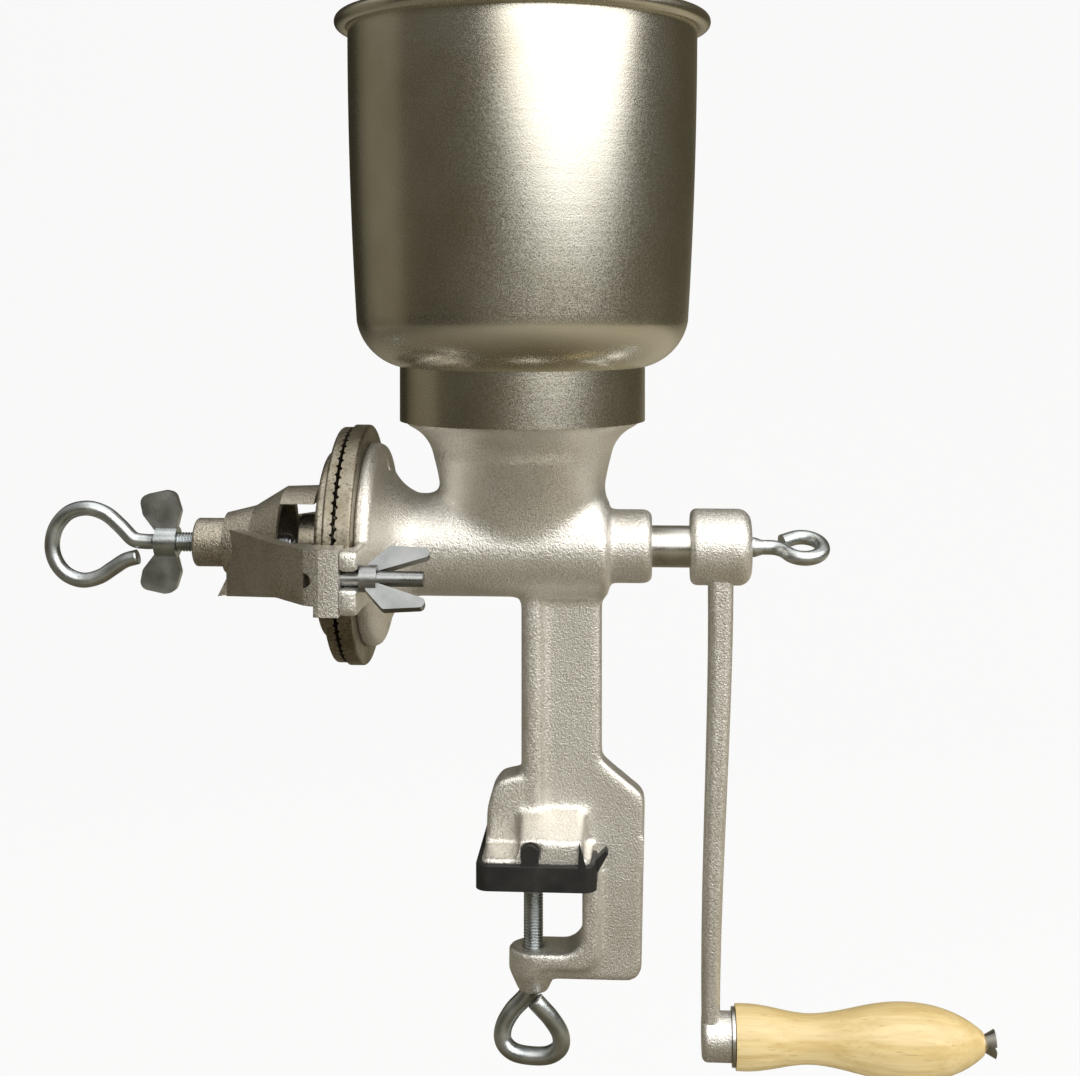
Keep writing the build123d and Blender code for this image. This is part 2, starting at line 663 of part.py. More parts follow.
def rotor_screw_place(angle):
    """A point on the turning plate's screw circle, at the carrier's back."""
    place = Pos(CARRIER_BACK_X, 0, SHAFT_Z) * Rot(angle, 0, 0)
    return place * Pos(0, 0, ROTOR_SCREW_PCD_R)


def cheese_head_screw(length, head_thick):
    """A slotted screw pointing to +X, its head left of the origin."""
    shank = Pos(length / 2, 0, 0) * Rot(0, 90, 0) * Cylinder(PLATE_SCREW_R, length)
    head = Pos(-head_thick / 2, 0, 0) * Rot(0, 90, 0) * Cylinder(PLATE_SCREW_HEAD_R, head_thick)
    slot = Pos(-head_thick, 0, 0) * Box(head_thick, PLATE_SCREW_SLOT, 4 * PLATE_SCREW_HEAD_R)
    return shank + head - slot


def stationary_burr_screws():
    """Two slotted screws, their heads sunk below the fixed plate's furrows."""
    sink = PLATE_SCREW_HEAD_R - PLATE_SCREW_R + FURROW_DEPTH
    screw = Pos(sink, 0, 0) * cheese_head_screw(PLATE_SCREW_LENGTH - sink, sink - 1.0)
    return [plate_screw_place(angle) * screw for angle in (0, 180)]


def rotating_burr_screws():
    """Two slotted screws through the carrier into the turning plate."""
    length = CARRIER_THICK + ROTOR_PLATE_THICK - FURROW_DEPTH - 0.4
    screw = cheese_head_screw(length, 2.4)
    return [rotor_screw_place(angle) * screw for angle in (90, 270)]


def burr_carrier():
    disc = x_cyl(CARRIER_R, CARRIER_BACK_X, ROTOR_BACK_X)
    disc = soften(disc, 1.5, lambda e: abs(e.center().X - CARRIER_BACK_X) < 0.01)
    hub = x_cyl(CARRIER_HUB_R, HUB_END_X, CARRIER_BACK_X + 1.0)
    hub = soften(hub, 1.0, lambda e: abs(e.center().X - HUB_END_X) < 0.01)
    carrier = disc + hub
    carrier -= x_cyl(SHAFT_NOSE_R + RUNNING_FIT, HUB_END_X - 1.0, ROTOR_BACK_X + 1.0)
    carrier -= pin_shape(PIN_R + RUNNING_FIT, 2.0)
    for angle in (90, 270):
        carrier -= rotor_screw_place(angle) * Rot(0, 90, 0) * Cylinder(PLATE_SCREW_R + THREAD_FIT, SCREW_HOLE_LENGTH)
    return carrier


def pin_shape(radius, spare):
    half = CARRIER_HUB_R - 1.0 + spare
    return z_cyl(radius, SHAFT_Z - half, SHAFT_Z + half, CARRIER_BACK_X - PIN_SETBACK)


def carrier_pin():
    return pin_shape(PIN_R, 0.0)


def thrust_ball():
    return Pos(BALL_X, 0, SHAFT_Z) * Sphere(BALL_R)


# ---- feed screw and shaft ----
def auger_flight():
    """The helical flight of the feed screw."""
    start = FLANGE_FACE_X + FLIGHT_START_GAP
    length = BEARING_LEFT - FLIGHT_END_GAP - start
    root = FEED_CORE_R - 1.0
    mean = (root + FLIGHT_R) / 2
    path = Helix(FLIGHT_PITCH, length, mean, center=(start, 0, SHAFT_Z), direction=(1, 0, 0))
    outward = (path @ 0) - Vector(start, 0, SHAFT_Z)
    section_plane = Plane(origin=path @ 0, x_dir=outward, z_dir=path % 0)
    section = section_plane * Rectangle(FLIGHT_R - root, FLIGHT_THICK)
    return sweep(section, path=path, is_frenet=True)


def auger_shaft():
    nose_end = HUB_END_X + 0.5
    shaft = x_cyl(SHAFT_NOSE_R, nose_end, ROTOR_FACE_X + 1.0)
    shaft += x_cyl(FEED_CORE_R, ROTOR_FACE_X, BEARING_LEFT - 4.0)
    shaft += x_cyl(SHAFT_R, BEARING_LEFT - 4.0, HUB_LEFT)
    tang_end = HUB_LEFT + TANG_LENGTH
    tang = TANG / 2
    shaft += block(HUB_LEFT - 1.0, tang_end, -tang, tang, SHAFT_Z - tang, SHAFT_Z + tang)
    shaft -= x_cyl(BALL_R + RUNNING_FIT, BALL_X - 1.0, BALL_X + BALL_R + RUNNING_FIT)
    shaft -= pin_shape(PIN_R + RUNNING_FIT, 2.0)
    shaft -= x_cyl(EYE_SCREW_R + THREAD_FIT, tang_end - EYE_SCREW_ENGAGE - 1.0, tang_end + 1.0)
    return shaft + auger_flight()


# ---- front bridge ----
def bridge_arm(side):
    """A bowed guard arm from the boss to the lug; side is -1 near and +1 far."""
    top = SHAFT_Z + ARM_TOP_RISE
    bottom = SHAFT_Z - ARM_BOTTOM_DROP
    lug_bottom = SHAFT_Z - LUG_BOTTOM_DROP
    bend_x = BRIDGE_LUG_LEFT - ARM_BULGE_X
    start_x = BRIDGE_BOSS_RIGHT - ARM_START
    outer = [
        (start_x, 0.0),
        (start_x, BRIDGE_BOSS_R - 1.0),
        (bend_x, ARM_BULGE_Y),
        (BRIDGE_LUG_LEFT - 6.0, LUG_OUTER_Y - 1.5),
        (BRIDGE_LUG_LEFT, LUG_OUTER_Y),
        (LUG_LEFT, LUG_OUTER_Y),
        (LUG_LEFT, PLATE_R + 1.2),
        (BRIDGE_LUG_LEFT, PLATE_R + 1.2),
        (BRIDGE_LUG_LEFT - 5.0, PLATE_R + 0.5),
        (bend_x + ARM_THICK, ARM_BULGE_Y - ARM_THICK / 2),
        (BRIDGE_BOSS_RIGHT, 4.0),
        (BRIDGE_BOSS_RIGHT, 0.0),
    ]
    plan = make_face(Polyline([(px, side * py, bottom) for px, py in outer], close=True))
    arm = extrude(plan, top - bottom, dir=(0, 0, 1))
    arm -= below_arm(start_x, bend_x)
    side_span = 2 * LUG_OUTER_Y
    arm -= block(BRIDGE_LUG_LEFT - 2.0, LUG_LEFT + 1.0, -side_span, side_span, bottom - 1.0, lug_bottom)
    spur_top = bottom + 2 * SPUR
    spur_outline = [
        (start_x - SPUR, bottom),
        (start_x, spur_top),
        (start_x + SPUR, spur_top),
        (start_x + SPUR, bottom + 1.0),
    ]
    return arm + xz_plate(spur_outline, 3.0, side * (BRIDGE_BOSS_R - 3.5))


def below_arm(start_x, bend_x):
    """What is cut from under the guard arms: they rise to the bend and drop a little to the lug."""
    low = SHAFT_Z - 2 * ARM_BOTTOM_DROP
    end_x = BRIDGE_LUG_LEFT - 2.0
    outline = [
        (start_x - 1.0, low),
        (start_x - 1.0, SHAFT_Z - ARM_BOTTOM_DROP),
        (start_x, SHAFT_Z - ARM_BOTTOM_DROP),
        (bend_x, SHAFT_Z - ARM_BEND_DROP),
        (end_x, SHAFT_Z - ARM_LUG_DROP),
        (end_x, low),
    ]
    return xz_plate(outline, 2 * LUG_OUTER_Y)


def bridge_hood():
    """The small cone over the turning plate's hub, open at the sides."""
    hood = turned_on_shaft([
        (BRIDGE_BOSS_RIGHT - 4.0, 0),
        (BRIDGE_BOSS_RIGHT - 4.0, BRIDGE_BOSS_R + 2.5),
        (BRIDGE_BOSS_RIGHT + 8.0, BRIDGE_BOSS_R + 5.5),
        (HOOD_RIGHT - HOOD_LENGTH, HOOD_R),
        (HOOD_RIGHT, HOOD_R + 0.5),
        (HOOD_RIGHT, 0),
    ])
    hollow = turned_on_shaft([
        (BRIDGE_BOSS_RIGHT + 4.0, 0),
        (BRIDGE_BOSS_RIGHT + 10.0, BRIDGE_BOSS_R + 2.0),
        (HOOD_RIGHT - HOOD_LENGTH + 1.0, HOOD_R - HOOD_WALL),
        (HOOD_RIGHT + 1.0, HOOD_R + 0.5 - HOOD_WALL),
        (HOOD_RIGHT + 1.0, 0),
    ])
    window = block(
        HOOD_RIGHT - HOOD_LENGTH,
        HOOD_RIGHT + 1.0,
        -2 * HOOD_R,
        2 * HOOD_R,
        SHAFT_Z + HOOD_WINDOW_LOW,
        SHAFT_Z + HOOD_WINDOW_HIGH,
    )
    return hood - hollow - window, hollow


def front_bridge():
    hood, hollow = bridge_hood()
    arms = bridge_arm(-1) + bridge_arm(1)
    boss = x_cyl(BRIDGE_BOSS_R, BRIDGE_BOSS_LEFT, BRIDGE_BOSS_RIGHT + 6.0)
    boss = soften(boss, 1.2, lambda e: abs(e.center().X - BRIDGE_BOSS_LEFT) < 0.01)
    bridge = hood + (arms - hollow) + boss
    bridge -= x_cyl(ADJUST_R + THREAD_FIT, BRIDGE_BOSS_LEFT - 1.0, BRIDGE_BOSS_RIGHT + 12.0)
    for side in (-1, 1):
        bridge -= bolt_hole(side)
    return bridge


def bolt_hole(side):
    left = BRIDGE_LUG_LEFT - 1.0
    return x_cyl(BOLT_R + SNUG_FIT, left, LUG_RIGHT, side * BOLT_Y, BOLT_Z) + x_cyl(
        BOLT_HEAD_R + SEAT_GAP, BRIDGE_LUG_LEFT - 2 * BOLT_HEAD_THICK, BRIDGE_LUG_LEFT, side * BOLT_Y, BOLT_Z
    )


def bridge_bolts():
    """Two round headed bolts, their heads inside the bridge's lugs."""
    bolts = []
    for side in (-1, 1):
        bolt = x_cyl(BOLT_R, BRIDGE_LUG_LEFT - 1.0, BRIDGE_LUG_LEFT + BOLT_LENGTH, side * BOLT_Y, BOLT_Z)
        head = x_cyl(BOLT_HEAD_R, BRIDGE_LUG_LEFT - BOLT_HEAD_THICK, BRIDGE_LUG_LEFT, side * BOLT_Y, BOLT_Z)
        bolts.append(bolt + soften(head, 1.2, lambda e: e.center().X < BRIDGE_LUG_LEFT - 1.0))
    return bolts


def bridge_wing_nut(side):
    """A wing nut with two wings swept back along the bolt."""
    start = LUG_RIGHT + SEAT_GAP
    hub = x_cyl(WING_NUT_R, start, start + WING_NUT_LENGTH, 0, 0)
    wings = None
    for sign in (-1, 1):
        outline = [
            (start + 1.0, sign * WING_NUT_R * 0.5),
            (start + 3.0, sign * (WING_NUT_R + 1.0)),
            (start + WING_SWEEP * 0.4, sign * WING_REACH),
            (start + WING_SWEEP, sign * (WING_REACH - 1.0)),
            (start + WING_SWEEP + 1.0, sign * (WING_REACH - 4.5)),
            (start + WING_NUT_LENGTH, sign * WING_NUT_R * 0.5),
        ]
        wing = soften(xz_plate(outline, WING_THICK / 2), WING_ROUND,
                      lambda e: abs((e % 0.5).Y) > 0.99 and abs(e.center().Z) > WING_REACH * 0.55)
        wings = wing if wings is None else wings + wing
    nut = hub + wings
    nut -= x_cyl(BOLT_R + THREAD_FIT, start - 1.0, start + 2 * WING_SWEEP, 0, 0)
    return Pos(0, side * BOLT_Y, BOLT_Z) * Rot(side * WING_TURN, 0, 0) * nut


# ---- eye screws ----
def eye_screw(shank_r, shank_length, wire_r, loop_r, tail):
    """A rod from the origin along +X whose wire end bends into an eye in the XZ plane."""
    lead = radians(60)
    neck = Line((0, 0, 0), (0.01 + 2 * wire_r, 0, 0))
    bend_end = (neck @ 1).X + loop_r * sin(lead)
    bend_mid = (neck @ 1).X + loop_r * sin(lead / 2)
    bend = ThreePointArc(
        neck @ 1,
        (bend_mid, 0, loop_r * (1 - cos(lead / 2))),
        (bend_end, 0, loop_r * (1 - cos(lead))),
    )
    centre_x = bend_end + loop_r * sin(lead)
    first = Vector(centre_x, 0, 0)

    def on_loop(angle):
        return first + Vector(-cos(radians(angle)) * loop_r, 0, sin(radians(angle)) * loop_r)

    upper = ThreePointArc(bend @ 1, on_loop(100), on_loop(170))
    lower = ThreePointArc(on_loop(170), on_loop(235), on_loop(300))
    tail_line = Line(lower @ 1, (lower @ 1) + (lower % 1) * tail)
    path = Wire([neck, bend, upper, lower, tail_line])
    section = Plane(origin=path @ 0, z_dir=path % 0) * Circle(wire_r)
    eye = sweep(section, path=path)
    shank = Pos(-shank_length / 2, 0, 0) * Rot(0, 90, 0) * Cylinder(shank_r, shank_length)
    cone = Pos(wire_r / 2, 0, 0) * Rot(0, 90, 0) * Cone(shank_r, wire_r, wire_r)
    return shank + cone + eye


def adjusting_screw():
    length = ADJUST_TIP_X - ADJUST_NECK_X
    screw = eye_screw(ADJUST_R, length, ADJUST_WIRE_R, ADJUST_LOOP_R, ADJUST_TAIL)
    return Pos(ADJUST_NECK_X, 0, SHAFT_Z) * Rot(0, 180, 0) * Rot(180, 0, 0) * screw


def crank_eye_screw():
    length = HUB_LENGTH - TANG_LENGTH + EYE_SCREW_ENGAGE + EYE_NECK
    screw = eye_screw(EYE_SCREW_R, length, EYE_WIRE_R, EYE_LOOP_R, EYE_TAIL)
    return Pos(HUB_RIGHT + EYE_NECK, 0, SHAFT_Z) * Rot(90 + EYE_TILT, 0, 0) * screw


def clamp_screw():
    neck_z = CLAMP_LOOP_Z + 2 * CLAMP_LOOP_R * sin(radians(60)) + 2 * CLAMP_WIRE_R
    top = PAD_TOP_Z - PAD_THICK - SEAT_GAP
    screw = eye_screw(CLAMP_R, top - neck_z, CLAMP_WIRE_R, CLAMP_LOOP_R, CLAMP_TAIL)
    return Pos(0, 0, neck_z) * Rot(0, 90, 0) * screw


def lock_wing_nut():
    """The wing nut on the adjusting screw, its wings leaning back from the boss."""
    end = LOCK_NUT_X + LOCK_NUT_LENGTH
    nut = x_cyl(LOCK_NUT_R, LOCK_NUT_X, end)
    lean = LOCK_WING_WIDTH * 0.3
    for sign in (-1, 1):
        profile = [
            (end - 1.0, SHAFT_Z + sign * 3.0),
            (end + 1.5, SHAFT_Z + sign * (LOCK_WING_REACH * 0.62)),
            (end - 1.0, SHAFT_Z + sign * LOCK_WING_REACH),
            (end - lean, SHAFT_Z + sign * (LOCK_WING_REACH + 0.8)),
            (end + 1.0 - LOCK_WING_WIDTH, SHAFT_Z + sign * (LOCK_WING_REACH - 1.5)),
            (end - LOCK_WING_WIDTH * 0.85, SHAFT_Z + sign * LOCK_WING_REACH * 0.55),
            (LOCK_NUT_X + 1.0, SHAFT_Z + sign * 3.0),
        ]
        wing = xz_plate(profile, LOCK_WING_THICK / 2)
        nut += soften(wing, LOCK_WING_ROUND, lambda e: abs((e % 0.5).Y) > 0.99
                      and abs(e.center().Z - SHAFT_Z) > LOCK_WING_REACH * 0.4)
    return nut - x_cyl(ADJUST_R + THREAD_FIT, LOCK_NUT_X - 1.0, end + 1.0)


# ---- crank and handle ----
def arm_section(share):
    """The arm's rounded section at a share of the way from hub to lower boss."""
    start_z = SHAFT_Z - ARM_START_DROP
    centre_z = start_z + (HANDLE_Z + CRANK_BOSS_R / 2 - start_z) * share
    sway = 0.5 * sin(radians(360 * share))
    centre_x = ARM_TOP_X + (ARM_LOW_X - ARM_TOP_X) * share + sway
    width = ARM_TOP_WIDTH + (ARM_LOW_WIDTH - ARM_TOP_WIDTH) * share
    depth = ARM_TOP_DEPTH + (ARM_LOW_DEPTH - ARM_TOP_DEPTH) * share
    return Pos(centre_x, 0, centre_z) * RectangleRounded(width, depth, ARM_CORNER)


def crank_arm():
    hub = x_cyl(HUB_R, HUB_LEFT, HUB_RIGHT)
    hub = soften(hub, HUB_ROUND, lambda e: abs(e.center().X - HUB_RIGHT) < 0.01)
    hub = soften(hub, HUB_ROUND / 2, lambda e: abs(e.center().X - HUB_LEFT) < 0.01)
    arm = loft([arm_section(index / 4) for index in range(5)])
    boss = x_cyl(CRANK_BOSS_R, CRANK_BOSS_LEFT, CRANK_BOSS_RIGHT, 0, HANDLE_Z)
    boss = soften(boss, CRANK_BOSS_ROUND, lambda e: abs(e.center().X - CRANK_BOSS_LEFT) < 0.01)
    crank = hub + arm + boss
    half = TANG / 2 + SNUG_FIT
    tang_end = HUB_LEFT + TANG_LENGTH + SNUG_FIT
    crank -= block(HUB_LEFT - 1.0, tang_end, -half, half, SHAFT_Z - half, SHAFT_Z + half)
    crank -= x_cyl(EYE_SCREW_R + THREAD_FIT, HUB_LEFT, HUB_RIGHT + 1.0)
    return crank - x_cyl(SPINDLE_R + RUNNING_FIT, CRANK_BOSS_RIGHT - SPINDLE_SOCKET, GRIP_LEFT, 0, HANDLE_Z)


def handle_washer():
    left = CRANK_BOSS_RIGHT + SEAT_GAP
    disc = x_cyl(WASHER_R, left, left + WASHER_THICK, 0, HANDLE_Z)
    return disc - x_cyl(SPINDLE_R + RUNNING_FIT, left - 1.0, left + 2 * WASHER_THICK, 0, HANDLE_Z)


def handle_grip():
    """The turned grip: butt, waist, belly and rounded tip on one smooth line."""
    end = GRIP_LEFT + GRIP_LENGTH
    outline = Spline([
        (GRIP_LEFT, 0, HANDLE_Z + GRIP_BUTT_R),
        (GRIP_LEFT + GRIP_NECK_AT * 0.35, 0, HANDLE_Z + GRIP_BUTT_R - 0.3),
        (GRIP_LEFT + GRIP_NECK_AT, 0, HANDLE_Z + GRIP_NECK_R),
        (GRIP_LEFT + GRIP_BELLY_AT, 0, HANDLE_Z + GRIP_BELLY_R),
        (GRIP_LEFT + GRIP_TIP_AT, 0, HANDLE_Z + GRIP_TIP_R),
        (end, 0, HANDLE_Z + SPINDLE_R + 1.2),
    ])
    profile = [
        Line((GRIP_LEFT, 0, HANDLE_Z), (GRIP_LEFT, 0, HANDLE_Z + GRIP_BUTT_R)),
        outline,
        Line((end, 0, HANDLE_Z + SPINDLE_R + 1.2), (end, 0, HANDLE_Z)),
        Line((end, 0, HANDLE_Z), (GRIP_LEFT, 0, HANDLE_Z)),
    ]
    grip = turned(profile, Axis((0, 0, HANDLE_Z), (1, 0, 0)))
    return grip - x_cyl(SPINDLE_R + GRIP_BORE_FIT, GRIP_LEFT - 1.0, end + 1.0, 0, HANDLE_Z)


def handle_spindle():
    """The pin through the grip, fixed in the crank's boss, its outer end splayed."""
    head_start = GRIP_LEFT + GRIP_LENGTH + SEAT_GAP
    pin = x_cyl(SPINDLE_R, CRANK_BOSS_RIGHT - SPINDLE_SOCKET + SNUG_FIT, head_start + 1.0, 0, HANDLE_Z)
    head = Pos(head_start + SPINDLE_HEAD_LENGTH / 2, 0, HANDLE_Z) * Rot(0, 90, 0) * Cone(
        SPINDLE_R, SPINDLE_HEAD_R, SPINDLE_HEAD_LENGTH
    )
    head_end = head_start + SPINDLE_HEAD_LENGTH
    half = SPINDLE_SPLIT / 2
    split = block(head_start + 1.2, head_end + 1.0, -9, 9, HANDLE_Z - half, HANDLE_Z + half)
    return pin + head - split


# ---- rubber shoe and clamp pad ----
def rubber_shoe():
    """The rubber shoe round the foot, with its nubs and end ears."""
    wall = SHOE_WALL + SNUG_FIT
    outer = block(
        FOOT_LEFT - wall, FOOT_RIGHT + wall, -FOOT_HALF - wall, FOOT_HALF + wall, 0, SHOE_HEIGHT
    )
    outer = soften(outer, FOOT_CORNER + wall, lambda e: abs(e.center().Z - SHOE_HEIGHT / 2) < 0.01)
    outer = soften(outer, 1.0, lambda e: abs(e.center().Z - SHOE_HEIGHT) < 0.01)
    pocket = block(
        FOOT_LEFT - SNUG_FIT,
        FOOT_RIGHT + SNUG_FIT,
        -FOOT_HALF - SNUG_FIT,
        FOOT_HALF + SNUG_FIT,
        SHOE_FLOOR,
        SHOE_HEIGHT + 1.0,
    )
    pocket_mid_z = (SHOE_FLOOR + SHOE_HEIGHT + 1.0) / 2
    pocket = soften(pocket, FOOT_CORNER, lambda e: abs(e.center().Z - pocket_mid_z) < 0.01)
    shoe = outer - pocket
    notch = RIB_HALF + SNUG_FIT
    shoe -= block(MOUTH_RIGHT - SNUG_FIT, FOOT_RIGHT + 2 * wall, -notch, notch, -1.0, SHOE_HEIGHT + 1.0)
    for side in (-1, 1):
        shoe += shoe_nub(side) + shoe_ear(side)
    return shoe


def shoe_nub(side):
    """The nub in the pedestal's arch, joined to the shoe's wall over the foot's edge."""
    low, high = sorted((side * (FOOT_HALF + SNUG_FIT / 2), side * (FOOT_HALF + SHOE_WALL)))
    tie = block(NUB_X - NUB_R, NUB_X + NUB_R, low, high, SHOE_FLOOR, FOOT_TOP_Z + NUB_STRAIGHT)
    tie += y_cyl(NUB_R, low, high, NUB_X, FOOT_TOP_Z + NUB_STRAIGHT)
    inner, outer = sorted((side * (FOOT_HALF - NUB_DEPTH), side * (FOOT_HALF + SHOE_WALL)))
    arch_z = FOOT_TOP_Z + NUB_STRAIGHT
    base = FOOT_TOP_Z + SNUG_FIT
    nub = block(NUB_X - NUB_R, NUB_X + NUB_R, inner, outer, base, arch_z)
    nub += y_cyl(NUB_R, inner, outer, NUB_X, arch_z)
    return tie + nub


def shoe_ear(side):
    """The thin upright ear and the small hook at the shoe's right corner."""
    wall_y = side * (FOOT_HALF + SNUG_FIT + SHOE_WALL / 2)
    ear_left = PEDESTAL_RIGHT - SHOE_EAR_WIDTH
    outline = [
        (ear_left, SHOE_HEIGHT - 3.0),
        (ear_left + 0.6, SHOE_HEIGHT + SHOE_EAR_HEIGHT),
        (ear_left + SHOE_EAR_WIDTH, SHOE_HEIGHT + SHOE_EAR_HEIGHT * 0.4),
        (ear_left + SHOE_EAR_WIDTH + 1.5, SHOE_HEIGHT - 3.0),
    ]
    return xz_plate(outline, SHOE_WALL / 2, wall_y) + shoe_hook(side)


def shoe_hook(side):
    """The short lip that curls away from the shoe's right end."""
    right = FOOT_RIGHT + SNUG_FIT + SHOE_WALL
    outline = [
        (right - 1.8, SHOE_HEIGHT - 5.0),
        (right - 1.8, SHOE_HEIGHT - 1.0),
        (right + SHOE_HOOK - 1.0, SHOE_HEIGHT + SHOE_HOOK),
        (right + SHOE_HOOK, SHOE_HEIGHT + SHOE_HOOK - 1.4),
        (right, SHOE_HEIGHT - 5.0),
    ]
    return xz_plate(outline, 3.0, side * (FOOT_HALF - FOOT_CORNER - 4.0))


def clamp_pad():
    """The swivel pad: a disc with a collar that holds the screw's end."""
    disc = z_cyl(PAD_R, PAD_TOP_Z - PAD_THICK, PAD_TOP_Z)
    disc = soften(disc, 0.8, lambda e: abs(e.center().Z - PAD_TOP_Z + PAD_THICK) < 0.01)
    collar_bottom = PAD_TOP_Z - PAD_THICK - PAD_COLLAR
    pad = disc + z_cyl(PAD_COLLAR_R, collar_bottom, PAD_TOP_Z - PAD_THICK + 0.5)
    return pad - z_cyl(CLAMP_R + RUNNING_FIT, collar_bottom - 1.0, PAD_TOP_Z - PAD_THICK)


# ---- output ----
def write(name, shape):
    """One STEP file for a node; a list of solids becomes one group."""
    if isinstance(shape, list):
        shape = Compound(children=shape)
    export_step(shape, "parts/" + name + ".step")


def build():
    os.makedirs("parts", exist_ok=True)
    write("body_casting", body_casting())
    write("hopper", hopper())
    write("stationary_burr", stationary_burr())
    write("stationary_burr_screws", stationary_burr_screws())
    write("rotating_burr", rotating_burr())
    write("rotating_burr_screws", rotating_burr_screws())
    write("burr_carrier", burr_carrier())
    write("carrier_pin", carrier_pin())
    write("auger_shaft", auger_shaft())
    write("thrust_ball", thrust_ball())
    write("front_bridge", front_bridge())
    write("bridge_bolts", bridge_bolts())
    write("bridge_wing_nut_near", bridge_wing_nut(-1))
    write("bridge_wing_nut_far", bridge_wing_nut(1))
    write("adjusting_screw", adjusting_screw())
    write("lock_wing_nut", lock_wing_nut())
    write("crank_arm", crank_arm())
    write("crank_eye_screw", crank_eye_screw())
    write("handle_washer", handle_washer())
    write("handle_grip", handle_grip())
    write("handle_spindle", handle_spindle())
    write("rubber_shoe", rubber_shoe())
    write("clamp_screw", clamp_screw())
    write("clamp_pad", clamp_pad())


build()
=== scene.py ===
import json
from math import atan2, cos, pi, radians, sin

import bpy
import numpy as np
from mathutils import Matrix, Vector


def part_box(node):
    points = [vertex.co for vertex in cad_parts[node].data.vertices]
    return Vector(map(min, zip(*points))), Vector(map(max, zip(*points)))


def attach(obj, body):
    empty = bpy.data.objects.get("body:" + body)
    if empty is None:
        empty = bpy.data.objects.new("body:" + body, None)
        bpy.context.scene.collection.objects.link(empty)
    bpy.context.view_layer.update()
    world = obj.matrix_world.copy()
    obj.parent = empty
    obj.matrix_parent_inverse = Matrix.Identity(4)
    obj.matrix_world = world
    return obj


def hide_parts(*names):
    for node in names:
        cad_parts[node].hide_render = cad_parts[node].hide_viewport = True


# A hand crank peanut grinder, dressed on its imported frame. Everything is in metres, except the points of the
# wire eyes and the half section of the hopper, which are in millimetres.

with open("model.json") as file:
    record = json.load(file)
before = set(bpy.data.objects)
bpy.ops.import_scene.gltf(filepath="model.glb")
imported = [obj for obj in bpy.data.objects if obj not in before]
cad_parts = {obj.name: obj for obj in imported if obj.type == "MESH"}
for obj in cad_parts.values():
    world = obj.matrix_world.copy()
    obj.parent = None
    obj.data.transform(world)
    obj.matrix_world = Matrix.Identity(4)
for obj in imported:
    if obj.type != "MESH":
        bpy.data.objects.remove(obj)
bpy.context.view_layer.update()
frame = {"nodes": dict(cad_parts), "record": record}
scene = bpy.context.scene

MM = 0.001
PHOTO_WIDTH = 1080.0
SHAFT_Z = 131.5 * MM
HOPPER_AXIS_X = -4.5 * MM

# ---- camera ----
LENS = 55.0
SENSOR_WIDTH = 36.0
NEAREST = 0.01
FARTHEST = 30.0
CAMERA_DISTANCE = 0.677
CAMERA_YAW = 3.5
CAMERA_X = 2.7 * MM
CAMERA_Z = 0.2362
CAMERA_SHIFT_Y = -248.0 / PHOTO_WIDTH

# ---- studio ----
FLOOR_SHADOW_REFLECTED = (0.17, 0.14, 0.085)
FLOOR_REFLECTED = (0.48, 0.43, 0.32)
BACKDROP_REFLECTED = (0.085, 0.073, 0.045)


def make_camera():
    """A level camera in front of the near side, with the photograph's framing by vertical shift."""
    data = bpy.data.cameras.new("camera")
    data.lens = LENS
    data.sensor_width = SENSOR_WIDTH
    data.shift_y = CAMERA_SHIFT_Y
    data.clip_start = NEAREST
    data.clip_end = FARTHEST
    camera = bpy.data.objects.new("camera", data)
    scene.collection.objects.link(camera)
    yaw = radians(CAMERA_YAW)
    camera.location = (
        CAMERA_X + CAMERA_DISTANCE * sin(yaw),
        -CAMERA_DISTANCE * cos(yaw),
        CAMERA_Z,
    )
    camera.rotation_euler = (radians(90), 0, yaw)
    scene.camera = camera


# ---- materials ----
def set_stops(node, stops):
    """Gives a colour ramp its stops, each a position and a colour."""
    elements = node.color_ramp.elements
    while len(elements) < len(stops):
        elements.new(0.5)
    for element, (position, colour) in zip(elements, stops):
        element.position = position
        element.color = (*colour, 1)


